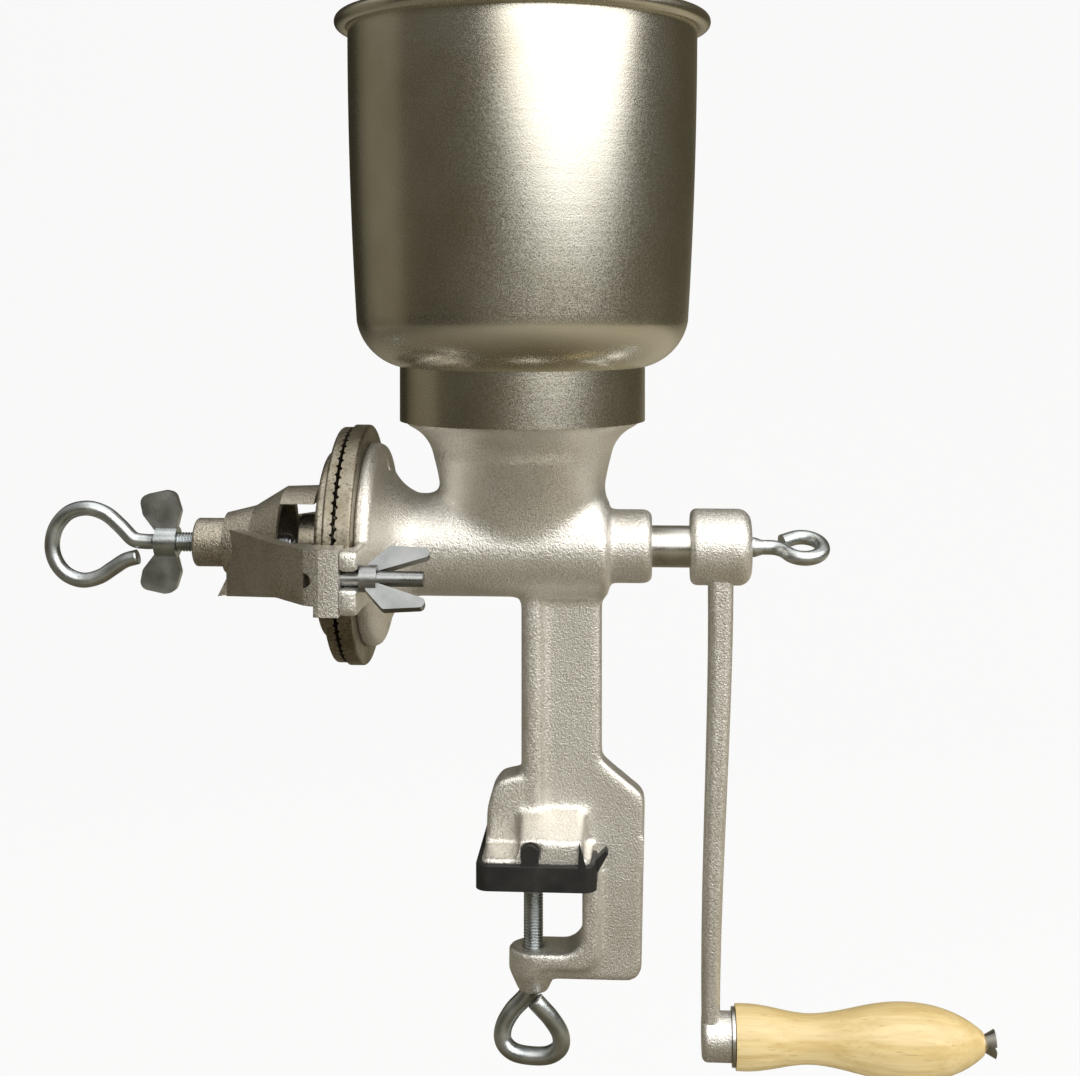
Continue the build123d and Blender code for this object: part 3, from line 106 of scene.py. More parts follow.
class Paint:
    """A Principled material whose nodes are added with short calls."""

    def __init__(self, name, roughness, metallic=0.0):
        self.material = bpy.data.materials.new(name)
        self.material.use_nodes = True
        self.tree = self.material.node_tree
        self.bsdf = self.tree.nodes["Principled BSDF"]
        self.bsdf.inputs["Roughness"].default_value = roughness
        self.bsdf.inputs["Metallic"].default_value = metallic

    def add(self, kind, **values):
        node = self.tree.nodes.new(kind)
        for key, value in values.items():
            setattr(node, key, value)
        return node

    def link(self, start, end):
        self.tree.links.new(start, end)

    def place(self, stretch=(1, 1, 1)):
        """Object coordinates, stretched."""
        coordinates = self.add("ShaderNodeTexCoord")
        mapping = self.add("ShaderNodeMapping")
        mapping.inputs["Scale"].default_value = stretch
        self.link(coordinates.outputs["Object"], mapping.inputs["Vector"])
        return mapping.outputs["Vector"]

    def axis(self, name):
        """One of the object coordinates."""
        node = self.add("ShaderNodeSeparateXYZ")
        self.link(self.place(), node.inputs["Vector"])
        return node.outputs[name]

    def noise(self, scale, detail=3.0, stretch=(1, 1, 1), distortion=0.0):
        node = self.add("ShaderNodeTexNoise")
        node.inputs["Scale"].default_value = scale
        node.inputs["Detail"].default_value = detail
        node.inputs["Distortion"].default_value = distortion
        self.link(self.place(stretch), node.inputs["Vector"])
        return node.outputs["Fac"]

    def cells(self, scale, stretch=(1, 1, 1)):
        node = self.add("ShaderNodeTexVoronoi")
        node.inputs["Scale"].default_value = scale
        self.link(self.place(stretch), node.inputs["Vector"])
        return node.outputs["Distance"]

    def spread(self, source, low, high, out_low=0.0, out_high=1.0):
        """Source between low and high, mapped to a new range."""
        node = self.add("ShaderNodeMapRange")
        node.inputs["From Min"].default_value = low
        node.inputs["From Max"].default_value = high
        node.inputs["To Min"].default_value = out_low
        node.inputs["To Max"].default_value = out_high
        self.link(source, node.inputs["Value"])
        return node.outputs["Result"]

    def math(self, operation, first, second):
        node = self.add("ShaderNodeMath", operation=operation)
        for index, value in enumerate((first, second)):
            if isinstance(value, (int, float)):
                node.inputs[index].default_value = value
            else:
                self.link(value, node.inputs[index])
        return node.outputs["Value"]

    def ramp(self, source, *stops):
        node = self.add("ShaderNodeValToRGB")
        set_stops(node, stops)
        self.link(source, node.inputs["Fac"])
        return node.outputs["Color"]

    def mix(self, factor, first, second):
        node = self.add("ShaderNodeMix", data_type="RGBA")
        self.link(factor, node.inputs["Factor"])
        for name, value in (("A", first), ("B", second)):
            self._colour(node, name, value)
        return node.outputs["Result"]

    def _colour(self, node, name, value):
        """Sets or links the colour input of that name, since a mix node has one per kind of value."""
        socket = [item for item in node.inputs if item.name == name and item.type == "RGBA"][0]
        if isinstance(value, tuple):
            socket.default_value = (*value, 1)
        else:
            self.link(value, socket)

    def colour(self, value):
        if isinstance(value, tuple):
            self.bsdf.inputs["Base Color"].default_value = (*value, 1)
        else:
            self.link(value, self.bsdf.inputs["Base Color"])

    def roughness(self, source):
        self.link(source, self.bsdf.inputs["Roughness"])

    def bump(self, *layers):
        """Layers of (height, distance in metres, strength), the first one lowest."""
        previous = None
        for height, distance, strength in layers:
            node = self.add("ShaderNodeBump")
            node.inputs["Distance"].default_value = distance
            node.inputs["Strength"].default_value = strength
            self.link(height, node.inputs["Height"])
            if previous is not None:
                self.link(previous, node.inputs["Normal"])
            previous = node.outputs["Normal"]
        self.link(previous, self.bsdf.inputs["Normal"])


def mix_result(node):
    return [item for item in node.outputs if item.type == "RGBA"][0]


def tinned_iron():
    """Hot-tinned sand casting: silver with a fine sandy sparkle, and painted shade, dark and brown, on the
    yoke.
    """
    paint = Paint("tinned_iron", 0.38, 0.9)
    grain = paint.noise(1500, 5)
    sand = paint.cells(800)
    flow = paint.noise(45, 4)
    base = paint.ramp(
        flow,
        (0.30, (0.75, 0.73, 0.68)),
        (0.50, (0.85, 0.835, 0.79)),
        (0.70, (0.92, 0.91, 0.88)),
    )
    fine = paint.spread(grain, 0.36, 0.56)
    silver = paint.mix(fine, (0.66, 0.625, 0.555), base)
    # painted shade: the yoke in front of the plates is coloured dark brown, in patches
    yoke_shade = paint.spread(paint.axis("X"), -70 * MM, -85 * MM)
    shade_patches = paint.spread(flow, 0.25, 0.65, 0.65, 1.0)
    yoke_shade_colour = paint.mix(fine, (0.24, 0.21, 0.155), (0.43, 0.39, 0.31))
    paint.colour(paint.mix(paint.math("MULTIPLY", yoke_shade, shade_patches), silver, yoke_shade_colour))
    paint.roughness(paint.spread(grain, 0.3, 0.7, 0.28, 0.52))
    paint.bump((flow, 0.0010, 0.3), (sand, 0.00016, 0.5), (grain, 0.00030, 0.9))
    return paint.material


def tinplate():
    """Spun tinplate: satin warm silver with a faint orange peel and spinning marks."""
    paint = Paint("tinplate", 0.25, 1.0)
    bloom = paint.noise(26, 3)
    grain = paint.noise(1500, 2)
    rings = paint.noise(30, 3, (0.6, 0.6, 16))
    base = paint.ramp(
        bloom,
        (0.32, (0.60, 0.565, 0.47)),
        (0.52, (0.68, 0.655, 0.575)),
        (0.70, (0.74, 0.72, 0.65)),
    )
    paint.colour(base)
    paint.roughness(paint.spread(grain, 0.3, 0.7, 0.20, 0.31))
    paint.bump((rings, 0.00012, 0.15), (grain, 0.00006, 0.5))
    return paint.material


def plate_iron():
    """Cast grinding iron: brown grey with ground high spots."""
    paint = Paint("plate_iron", 0.45, 1.0)
    flow = paint.noise(70, 4)
    grain = paint.noise(900, 4)
    base = paint.ramp(
        flow,
        (0.30, (0.20, 0.175, 0.125)),
        (0.50, (0.32, 0.29, 0.225)),
        (0.70, (0.45, 0.42, 0.35)),
    )
    paint.colour(paint.mix(paint.spread(grain, 0.35, 0.5), (0.18, 0.155, 0.11), base))
    paint.roughness(paint.spread(grain, 0.3, 0.7, 0.34, 0.55))
    paint.bump((flow, 0.0006, 0.3), (grain, 0.0002, 0.35))
    return paint.material


def zinc_steel():
    """Bright zinc plating with a faint bluish cast and handling marks."""
    paint = Paint("zinc_steel", 0.24, 1.0)
    smear = paint.noise(90, 4)
    grain = paint.noise(1300, 3)
    base = paint.ramp(
        smear,
        (0.32, (0.40, 0.43, 0.445)),
        (0.52, (0.53, 0.565, 0.575)),
        (0.70, (0.66, 0.69, 0.695)),
    )
    # painted shade: the bolts and their wing nuts, far out to both sides, are coloured darker than the rest of
    # the plating
    sideways = paint.math("ABSOLUTE", paint.axis("Y"), 0.0)
    side_bolt_shade = paint.mix(paint.spread(smear, 0.3, 0.7), (0.23, 0.24, 0.24), (0.38, 0.39, 0.39))
    paint.colour(paint.mix(paint.spread(sideways, 40 * MM, 44 * MM), base, side_bolt_shade))
    paint.roughness(paint.spread(smear, 0.3, 0.7, 0.24, 0.40))
    paint.bump((smear, 0.0004, 0.35), (grain, 0.00010, 0.5))
    return paint.material


def bare_steel():
    """Turned steel with fine rings round the shaft's direction."""
    paint = Paint("bare_steel", 0.28, 1.0)
    rings = paint.noise(60, 2, (30, 1, 1))
    stain = paint.noise(60, 4)
    paint.colour(
        paint.ramp(
            stain,
            (0.30, (0.50, 0.48, 0.44)),
            (0.55, (0.66, 0.65, 0.62)),
            (0.75, (0.74, 0.73, 0.71)),
        )
    )
    paint.roughness(paint.spread(stain, 0.3, 0.7, 0.22, 0.38))
    paint.bump((rings, 0.0001, 0.35))
    return paint.material


def pale_wood():
    """Pale turned hardwood under clear lacquer, its grain along the grip."""
    paint = Paint("pale_wood", 0.42)
    fibres = paint.noise(420, 4, (0.05, 1, 1), 0.2)
    bands = paint.noise(60, 3, (0.12, 1, 1), 0.3)
    pores = paint.noise(1400, 2, (0.04, 1, 1))
    base = paint.ramp(
        bands,
        (0.30, (0.66, 0.50, 0.225)),
        (0.50, (0.71, 0.56, 0.27)),
        (0.72, (0.76, 0.62, 0.33)),
    )
    streaks = paint.mix(paint.spread(fibres, 0.34, 0.60), (0.61, 0.45, 0.19), base)
    paint.colour(paint.mix(paint.spread(pores, 0.26, 0.40), (0.50, 0.35, 0.15), streaks))
    paint.roughness(paint.spread(fibres, 0.3, 0.7, 0.30, 0.45))
    paint.bump((fibres, 0.0001, 0.25), (pores, 0.00006, 0.3))
    paint.bsdf.inputs["Coat Weight"].default_value = 0.55
    paint.bsdf.inputs["Coat Roughness"].default_value = 0.16
    return paint.material


def black_rubber():
    """Moulded black rubber, dull, with a dusty bloom."""
    paint = Paint("black_rubber", 0.55)
    dust = paint.noise(120, 5)
    grain = paint.noise(1400, 3)
    paint.colour(
        paint.ramp(
            dust,
            (0.35, (0.007, 0.007, 0.007)),
            (0.60, (0.013, 0.012, 0.011)),
            (0.80, (0.028, 0.026, 0.023)),
        )
    )
    paint.roughness(paint.spread(dust, 0.3, 0.7, 0.50, 0.70))
    paint.bump((dust, 0.0004, 0.25), (grain, 0.0001, 0.5))
    return paint.material


# ---- mesh helpers ----
def new_piece(name, vertices, faces, material, body):
    mesh = bpy.data.meshes.new(name)
    mesh.from_pydata([tuple(v) for v in vertices], [], faces)
    mesh.update()
    mesh.polygons.foreach_set("use_smooth", [True] * len(mesh.polygons))
    mesh.materials.append(material)
    piece = bpy.data.objects.new(name, mesh)
    scene.collection.objects.link(piece)
    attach(piece, body)
    return piece


def along(points, step):
    """The polyline, resampled at about the given step, with the distance of every sample."""
    samples = [(Vector(points[0]), 0.0)]
    travelled = 0.0
    for start, end in zip(points, points[1:]):
        start = Vector(start)
        span = Vector(end) - start
        count = max(1, round(span.length / step))
        for index in range(1, count + 1):
            samples.append((start + span * index / count, travelled + span.length * index / count))
        travelled += span.length
    return samples


def swept(name, samples, radius_at, material, body):
    """A closed rod along the samples; radius_at(distance, angle) gives its surface."""
    vertices = []
    faces = []
    sides = SCREW_SIDES
    count = len(samples)
    tangent = (samples[1][0] - samples[0][0]).normalized()
    helper = Vector((0, 0, 1)) if abs(tangent.z) < 0.9 else Vector((0, 1, 0))
    side = tangent.cross(helper).normalized()
    for index, (point, distance) in enumerate(samples):
        ahead = samples[min(index + 1, count - 1)][0] - samples[max(index - 1, 0)][0]
        tangent = ahead.normalized()
        side = (side - tangent * side.dot(tangent)).normalized()
        up = tangent.cross(side)
        for turn in range(sides):
            angle = 2 * pi * turn / sides
            radius = radius_at(distance, angle)
            vertices.append(point + (side * cos(angle) + up * sin(angle)) * radius)
    for ring in range(count - 1):
        for turn in range(sides):
            following = (turn + 1) % sides
            low = ring * sides
            faces.append((low + turn, low + following, low + sides + following, low + sides + turn))
    faces.append(tuple(range(sides - 1, -1, -1)))
    faces.append(tuple((count - 1) * sides + turn for turn in range(sides)))
    return new_piece(name, vertices, faces, material, body)


SCREW_RADIUS = 4.0 * MM
THREAD_PITCH = 1.25 * MM
THREAD_DEPTH = 0.6 * MM
THREAD_STEP = 0.16 * MM
TIP_CHAMFER = 1.2 * MM
WIRE_BLEND = 2 * MM
WIRE_STEP = 0.9 * MM
SCREW_SIDES = 28


def thread(start, end, wire_radius):
    """Surface of a rod with a thread between two distances and a plain wire after it.

    With the surface that swept() makes, this thread turns to the left."""

    def radius_at(distance, angle):
        if distance > end:
            blend = min(1.0, (distance - end) / WIRE_BLEND)
            return SCREW_RADIUS + (wire_radius - SCREW_RADIUS) * blend
        phase = (distance / THREAD_PITCH + angle / (2 * pi)) % 1.0
        crest = 1.0 - abs(2 * phase - 1.0)
        groove = THREAD_DEPTH * (1.0 - min(1.0, crest * 1.5))
        fade = min(1.0, max(0.0, (distance - start) / THREAD_PITCH))
        chamfer = max(0.0, TIP_CHAMFER - distance) * 0.8
        return SCREW_RADIUS - groove * fade - chamfer

    return radius_at


# ---- screws with eyes ----
ADJUST_TIP = -100.05 * MM
ADJUST_NECK = -158.5 * MM
ADJUST_WIRE = 3.15 * MM
CLAMP_WIRE = 3.6 * MM
CLAMP_NECK_Z = (-68.4 + 2 * 10.0 * sin(radians(60)) + 2 * 3.6) * MM
ADJUST_EYE = (
    (0, 0, 0), (3.4, 0, 0), (8.5, 1.0, 0), (14.0, 6.4, 0), (20.3, 11.5, 0), (27.9, 13.7, 0),
    (35.6, 11.9, 0), (41.1, 6.0, 0), (43.0, -1.6, 0), (41.4, -8.6, 0), (36.8, -14.0, 0),
    (30.0, -16.4, 0), (22.9, -14.9, 0), (17.0, -11.2, 0), (12.0, -8.0, 0), (6.6, -6.4, 0),
)
CLAMP_EYE = (
    (0, 0, 0), (4.9, -0.2, 0), (10.0, -3.2, 0.4), (16.0, -8.6, 0.8), (22.6, -12.2, 0.8),
    (28.4, -12.4, 0.2), (32.4, -8.2, -0.6), (33.4, -0.8, -1.6), (32.4, 6.6, -2.6),
    (28.4, 11.2, -3.8), (22.4, 11.2, -5.0), (15.8, 7.6, -6.4), (11.0, 3.6, -7.3), (8.4, 1.2, -7.4),
)


def flowing(points, steps=7):
    """A smooth curve through the points, which are in millimetres."""
    known = [Vector(p) for p in points]
    known = [known[0] * 2 - known[1]] + known + [known[-1] * 2 - known[-2]]
    curve = []
    for index in range(1, len(known) - 2):
        before, start, end, after = known[index - 1:index + 3]
        for step in range(steps):
            t = step / steps
            curve.append(0.5 * (
                2 * start + (end - before) * t
                + (2 * before - 5 * start + 4 * end - after) * t * t
                + (3 * start - before - 3 * end + after) * t * t * t
            ) * MM)
    curve.append(known[-2] * MM)
    return curve


def shank_and_eye(tip, neck, shank, bend):
    """The samples of a straight threaded shank, of the length given, and of the wire eye after it."""
    samples = along([tip, neck], THREAD_STEP)
    samples += [(p, d + shank) for p, d in along([neck] + bend, WIRE_STEP)[1:]]
    return samples


def adjusting_screw(material):
    bend = [(ADJUST_NECK - p.x, p.z, SHAFT_Z + p.y) for p in flowing(ADJUST_EYE)[1:]]
    shank = ADJUST_TIP - ADJUST_NECK
    samples = shank_and_eye((ADJUST_TIP, 0, SHAFT_Z), (ADJUST_NECK, 0, SHAFT_Z), shank, bend)
    surface = thread(0.0, shank - 2 * MM, ADJUST_WIRE)
    piece = swept("adjusting_eye_screw", samples, surface, material, "adjusting_screw")
    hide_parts("adjusting_screw")


def clamp_screw(material):
    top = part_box("clamp_screw")[1].z
    bend = [(p.y, p.z, CLAMP_NECK_Z - p.x) for p in flowing(CLAMP_EYE)[1:]]
    shank = top - CLAMP_NECK_Z
    samples = shank_and_eye((0, 0, top), (0, 0, CLAMP_NECK_Z), shank, bend)
    surface = thread(3 * MM, shank - 1 * MM, CLAMP_WIRE)
    piece = swept("clamp_eye_screw", samples, surface, material, "clamp_screw")
    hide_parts("clamp_screw")


def dress_nodes(materials):
    """Every CAD node gets the scene's material for its slot in model.json."""
    slots = {item["node"]: item["material_slot"] for item in frame["record"]["subparts"]}
    for node, piece in frame["nodes"].items():
        material = materials[slots[node]]
        if not piece.material_slots:
            piece.data.materials.append(material)
        for slot in piece.material_slots:
            slot.material = material


def soften_edges(node, width, segments=3, angle=35):
    """A small rounding on a CAD node's sharp edges."""
    piece = frame["nodes"][node]
    bevel = piece.modifiers.new("edge", "BEVEL")
    bevel.width = width
    bevel.segments = segments
    bevel.limit_method = "ANGLE"
    bevel.angle_limit = radians(angle)
    bevel.harden_normals = True


# ---- the body casting ----
def remeshed(node, voxel):
    """A CAD node's shape as an even mesh of small squares, for rounding it like a casting."""
    source = frame["nodes"][node]
    work = bpy.data.objects.new(node + "_work", source.data.copy())
    scene.collection.objects.link(work)
    remesh = work.modifiers.new("grid", "REMESH")
    remesh.mode = "VOXEL"
    remesh.voxel_size = voxel
    remesh.adaptivity = 0.0
    graph = bpy.context.evaluated_depsgraph_get()
    mesh = bpy.data.meshes.new_from_object(work.evaluated_get(graph))
    bpy.data.objects.remove(work)
    return mesh


def read_points(mesh):
    points = np.empty(len(mesh.vertices) * 3)
    mesh.vertices.foreach_get("co", points)
    return points.reshape(-1, 3)


def neighbour_lists(mesh):
    edges = np.empty(len(mesh.edges) * 2, dtype=np.int64)
    mesh.edges.foreach_get("vertices", edges)
    edges = edges.reshape(-1, 2)
    start = np.concatenate((edges[:, 0], edges[:, 1]))
    end = np.concatenate((edges[:, 1], edges[:, 0]))
    return start, end


def smoothed(points, links, weight, rounds):
    """Points moved towards their neighbours' middle, by weight, several times."""
    start, end = links
    count = len(points)
    degree = np.maximum(np.bincount(start, minlength=count), 1)[:, None]
    for _ in range(rounds):
        middle = np.stack(
            [np.bincount(start, points[end, axis], minlength=count) for axis in range(3)], axis=1
        )
        points = points + (middle / degree - points) * weight[:, None]
    return points


def ring_distance(points, centre_a, centre_b, axes):
    """Distance of the points from a line along the third axis."""
    return np.hypot(points[:, axes[0]] - centre_a, points[:, axes[1]] - centre_b)


def snap_ring(points, inside, axes, centre, radius):
    """Sets the marked points' distance from an axis to a radius."""
    a = points[inside, axes[0]] - centre[0]
    b = points[inside, axes[1]] - centre[1]
    scale = radius / np.maximum(np.hypot(a, b), 1e-6)
    points[inside, axes[0]] = centre[0] + a * scale
    points[inside, axes[1]] = centre[1] + b * scale


def finish_mesh(name, mesh, points, material, body):
    mesh.vertices.foreach_set("co", points.reshape(-1))
    mesh.materials.clear()
    mesh.materials.append(material)
    mesh.polygons.foreach_set("use_smooth", [True] * len(mesh.polygons))
    mesh.polygons.foreach_set("material_index", [0] * len(mesh.polygons))
    mesh.update()
    mesh.name = name
    piece = bpy.data.objects.new(name, mesh)
    scene.collection.objects.link(piece)
    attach(piece, body)
    return piece


CAST_VOXEL = 1.1 * MM
BARREL_RADIUS = 21.0 * MM
SEAM_LOWEST_Z = 142 * MM
SEAM_REACH = 7.5 * MM
SEAM_HALF_LENGTH = 42 * MM
SEAM_INNER_RADIUS = 18 * MM
WEB_Z = (10 * MM, 116 * MM)
BORE_REACH = 9.4 * MM
BORE_X = (16 * MM, 49 * MM)
BORE_RADIUS = 8.62 * MM
FEED_REACH = 17.2 * MM
FEED_END_X = 17.5 * MM
SPIGOT_BOTTOM_Z = 184.2 * MM
SPIGOT_INNER_RADIUS = 43 * MM
SPIGOT_WALL_RADIUS = 47.5 * MM
SPIGOT_LARGEST_RADIUS = 48.95 * MM
SEAT_X = -66.6 * MM
SEAT_RADIUS = 50 * MM
JAW_TOP_Z = -30 * MM
JAW_REACH = 4.7 * MM
JAW_BORE_RADIUS = 4.12 * MM
SHOE_Z = (1 * MM, 14.5 * MM)


def cast_body(material):
    """The body casting with the soft corners and the flowing neck of a sand casting."""
    mesh = remeshed("body_casting", CAST_VOXEL)
    exact = read_points(mesh)
    links = neighbour_lists(mesh)
    x, _, z = exact.T
    from_shaft = ring_distance(exact, 0.0, SHAFT_Z, (1, 2))
    from_throat = ring_distance(exact, HOPPER_AXIS_X, 0.0, (0, 1))
    from_clamp = ring_distance(exact, 0.0, 0.0, (0, 1))
    # the seam of throat and barrel flows most
    neck_gap = np.abs(from_shaft - BARREL_RADIUS) + np.maximum(0, SEAM_LOWEST_Z - z)
    seam = np.clip(1.0 - neck_gap / SEAM_REACH, 0, 1) * (np.abs(x - HOPPER_AXIS_X) < SEAM_HALF_LENGTH)
    seam = seam * (from_shaft > SEAM_INNER_RADIUS)
    web = (z < WEB_Z[1]) & (z > WEB_Z[0])
    points = smoothed(exact.copy(), links, 0.5 * np.ones(len(exact)), 5)
    points = smoothed(points, links, 0.6 * seam, 60)
    points = smoothed(points, links, 0.5 * web, 6)
    # fits keep their size
    bore = (from_shaft < BORE_REACH) & (x > BORE_X[0]) & (x < BORE_X[1])
    feed = (from_shaft < FEED_REACH) & (x < FEED_END_X)
    spigot = (z > SPIGOT_BOTTOM_Z) & (from_throat > SPIGOT_INNER_RADIUS)
    face = (x < SEAT_X) & (from_shaft < SEAT_RADIUS)
    jaw = (from_clamp < JAW_REACH) & (z < JAW_TOP_Z)
    shoe = (z < SHOE_Z[1]) & (z > SHOE_Z[0])
    for kept in (feed, spigot, face, shoe):
        points[kept] = exact[kept]
    snap_ring(points, bore, (1, 2), (0.0, SHAFT_Z), BORE_RADIUS)
    snap_ring(points, jaw, (0, 1), (0.0, 0.0), JAW_BORE_RADIUS)
    wall = spigot & (from_throat > SPIGOT_WALL_RADIUS)
    own = ring_distance(points, HOPPER_AXIS_X, 0.0, (0, 1))[wall]
    limit = np.minimum(own, SPIGOT_LARGEST_RADIUS)
    snap_ring(points, wall, (0, 1), (HOPPER_AXIS_X, 0.0), limit)
    piece = finish_mesh("cast_body", mesh, points, material, "frame")
    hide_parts("body_casting")


# ---- the hopper ----
COLLAR_RADIUS = 50.2
SHEET = 0.9
COLLAR_INSIDE = COLLAR_RADIUS - SHEET
COLLAR_HEIGHTS = (183.0, 190.0, 198.0, 205.0)
SHOULDER_OUTSIDE = ((COLLAR_RADIUS, 205.0), (63.15, 213.325), (67.7, 223.5))
SHOULDER_INSIDE = ((COLLAR_INSIDE, 205.9), (62.25, 214.225), (66.8, 224.4))
LEDGE_INNER = 44.3
LEDGE_HEIGHTS = (201.2, 200.3)
SHOULDER_STEPS = 18
WALL_STEPS = 30
BEAD_STEPS = 24
BEAD_START = -136
BEAD_END = 180
HOPPER_SIDES = 200
CREASE = 40
WALL_KNOTS = ((223.5, 67.7), (281.0, 70.4), (345.0, 71.5))
BEAD_CENTRE = (73.8, 345.0)
BEAD_RADIUS = 3.17


def wall_radius(z):
    """The bowl's outer radius, one smooth curve through three knots."""
    total = 0.0
    for index, (own_z, own_r) in enumerate(WALL_KNOTS):
        share = own_r
        for other, (other_z, _) in enumerate(WALL_KNOTS):
            if other != index:
                share *= (z - other_z) / (own_z - other_z)
        total += share
    return total


def three_point(first, middle, last, steps):
    """Points on the circle through three points, without the first."""
    (ax, ay), (bx, by), (cx, cy) = first, middle, last
    d = 2 * (ax * (by - cy) + bx * (cy - ay) + cx * (ay - by))
    a, b, c = ax * ax + ay * ay, bx * bx + by * by, cx * cx + cy * cy
    ux = (a * (by - cy) + b * (cy - ay) + c * (ay - by)) / d
    uy = (a * (cx - bx) + b * (ax - cx) + c * (bx - ax)) / d
    radius = Vector((ax - ux, ay - uy)).length
    start = Vector((ax - ux, ay - uy))
    turn = start.angle_signed(Vector((cx - ux, cy - uy)))
    points = []
    for index in range(1, steps + 1):
        angle = atan2(start.y, start.x) - turn * index / steps
        points.append((ux + radius * cos(angle), uy + radius * sin(angle)))
    return points


def hopper_profile():
    """Half section of the spun bowl as (radius, height) in millimetres, a closed loop."""
    points = [(COLLAR_RADIUS, height) for height in COLLAR_HEIGHTS]
    points += three_point(*SHOULDER_OUTSIDE, SHOULDER_STEPS)
    for index in range(1, WALL_STEPS + 1):
        z = 223.5 + (342.6 - 223.5) * index / WALL_STEPS
        points.append((wall_radius(z), z))
    for index in range(BEAD_STEPS + 1):
        angle = radians(BEAD_START + (BEAD_END - BEAD_START) * index / BEAD_STEPS)
        points.append((
            BEAD_CENTRE[0] + BEAD_RADIUS * cos(angle),
            BEAD_CENTRE[1] + BEAD_RADIUS * sin(angle),
        ))
    for index in range(1, WALL_STEPS + 1):
        z = 344.0 + (224.4 - 344.0) * index / WALL_STEPS
        points.append((wall_radius(z - SHEET) - SHEET, z))
    back = three_point(*SHOULDER_INSIDE, SHOULDER_STEPS)
    points += back[-2::-1]
    points += [SHOULDER_INSIDE[0], (COLLAR_INSIDE, LEDGE_HEIGHTS[0])]
    points += [(LEDGE_INNER, height) for height in LEDGE_HEIGHTS]
    points += [(COLLAR_INSIDE, LEDGE_HEIGHTS[1]), (COLLAR_INSIDE, COLLAR_HEIGHTS[0])]
    return points


def spun_hopper(material):
    """The hopper as one smooth spun sheet with a rolled rim."""
    profile = hopper_profile()
    sides = HOPPER_SIDES
    vertices = []
    for radius, height in profile:
        for turn in range(sides):
            angle = 2 * pi * turn / sides
            vertices.append((
                HOPPER_AXIS_X + radius * cos(angle) * MM, radius * sin(angle) * MM, height * MM,
            ))
    rings = len(profile)
    faces = []
    for ring in range(rings):
        low = ring * sides
        high = ((ring + 1) % rings) * sides
        for turn in range(sides):
            following = (turn + 1) % sides
            faces.append((low + turn, low + following, high + following, high + turn))
    piece = new_piece("spun_hopper", vertices, faces, material, "hopper")
    split = piece.modifiers.new("creases", "EDGE_SPLIT")
    split.split_angle = radians(CREASE)
    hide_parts("hopper")


# ---- stage ----
MIDDLE = (0.0, 0.0, 0.2)
FLOOR_Z = -0.30
FLOOR_FRONT = -3.0
FLOOR_HALF_WIDTH = 4.0
SWEEP_START = 1.3
SWEEP_RADIUS = 0.9
SWEEP_STEPS = 12
BACKDROP_TOP = 3.5
FLOOR_COLOUR = (0.78, 0.77, 0.75)
FLOOR_GLOW = 0.98
FLOOR_GLOW_SHARE = 0.93


def area_light(name, place, target, size, power, colour, shape, size_y):
    data = bpy.data.lights.new(name, "AREA")
    data.shape = shape
    data.size = size
    data.size_y = size_y
    data.energy = power
    data.color = colour
    lamp = bpy.data.objects.new(name, data)
    scene.collection.objects.link(lamp)
    lamp.location = place
    direction = Vector(target) - Vector(place)
    lamp.rotation_euler = direction.to_track_quat("-Z", "Y").to_euler()


def around(azimuth, elevation, distance):
    """A place seen from the part's middle: azimuth 0 is the near side, positive to the crank's side."""
    flat = distance * cos(radians(elevation))
    return (
        MIDDLE[0] + flat * sin(radians(azimuth)),
        MIDDLE[1] - flat * cos(radians(azimuth)),
        MIDDLE[2] + distance * sin(radians(elevation)),
    )


def make_lights():
    """A wide soft window on the right, a weak one far left, and a ceiling panel."""
    for name, place, size, power, colour, shape, size_y in (
        ("key", around(34, 34, 1.5), 3.3, 40, (1.0, 0.985, 0.96), "ELLIPSE", 1.9),
        ("fill_left", around(-104, 10, 1.5), 1.3, 0.7, (1.0, 0.91, 0.66), "RECTANGLE", 1.6),
        ("top", around(-10, 86, 1.6), 1.4, 8, (1.0, 0.99, 0.97), "RECTANGLE", 1.4),
    ):
        area_light(name, place, MIDDLE, size, power, colour, shape, size_y)


def make_world():
    """A dim warm room with a bright ceiling, white to the camera."""
    world = bpy.data.worlds.new("room")
    world.use_nodes = True
    scene.world = world
    tree = world.node_tree
    nodes = tree.nodes
    links = tree.links
    background = nodes["Background"]
    coordinates = nodes.new("ShaderNodeTexCoord")
    split = nodes.new("ShaderNodeSeparateXYZ")
    links.new(coordinates.outputs["Generated"], split.inputs["Vector"])
    ramp = nodes.new("ShaderNodeValToRGB")
    height = nodes.new("ShaderNodeMapRange")
    height.inputs["From Min"].default_value = -1.0
    height.inputs["From Max"].default_value = 1.0
    links.new(split.outputs["Z"], height.inputs["Value"])
    links.new(height.outputs["Result"], ramp.inputs["Fac"])
    stops = (
        (0.30, (0.32, 0.28, 0.20)),
        (0.47, (0.095, 0.083, 0.055)),
        (0.57, (0.085, 0.075, 0.052)),
        (0.74, (0.28, 0.27, 0.24)),
        (1.00, (0.60, 0.59, 0.57)),
    )
    set_stops(ramp, stops)
    path = nodes.new("ShaderNodeLightPath")
    mix = nodes.new("ShaderNodeMix")
    mix.data_type = "RGBA"
    colours = [item for item in mix.inputs if item.type == "RGBA"]
    links.new(path.outputs["Is Camera Ray"], mix.inputs["Factor"])
    links.new(ramp.outputs["Color"], colours[0])
    colours[1].default_value = (1.0, 1.0, 1.0, 1)
    links.new(mix_result(mix), background.inputs["Color"])


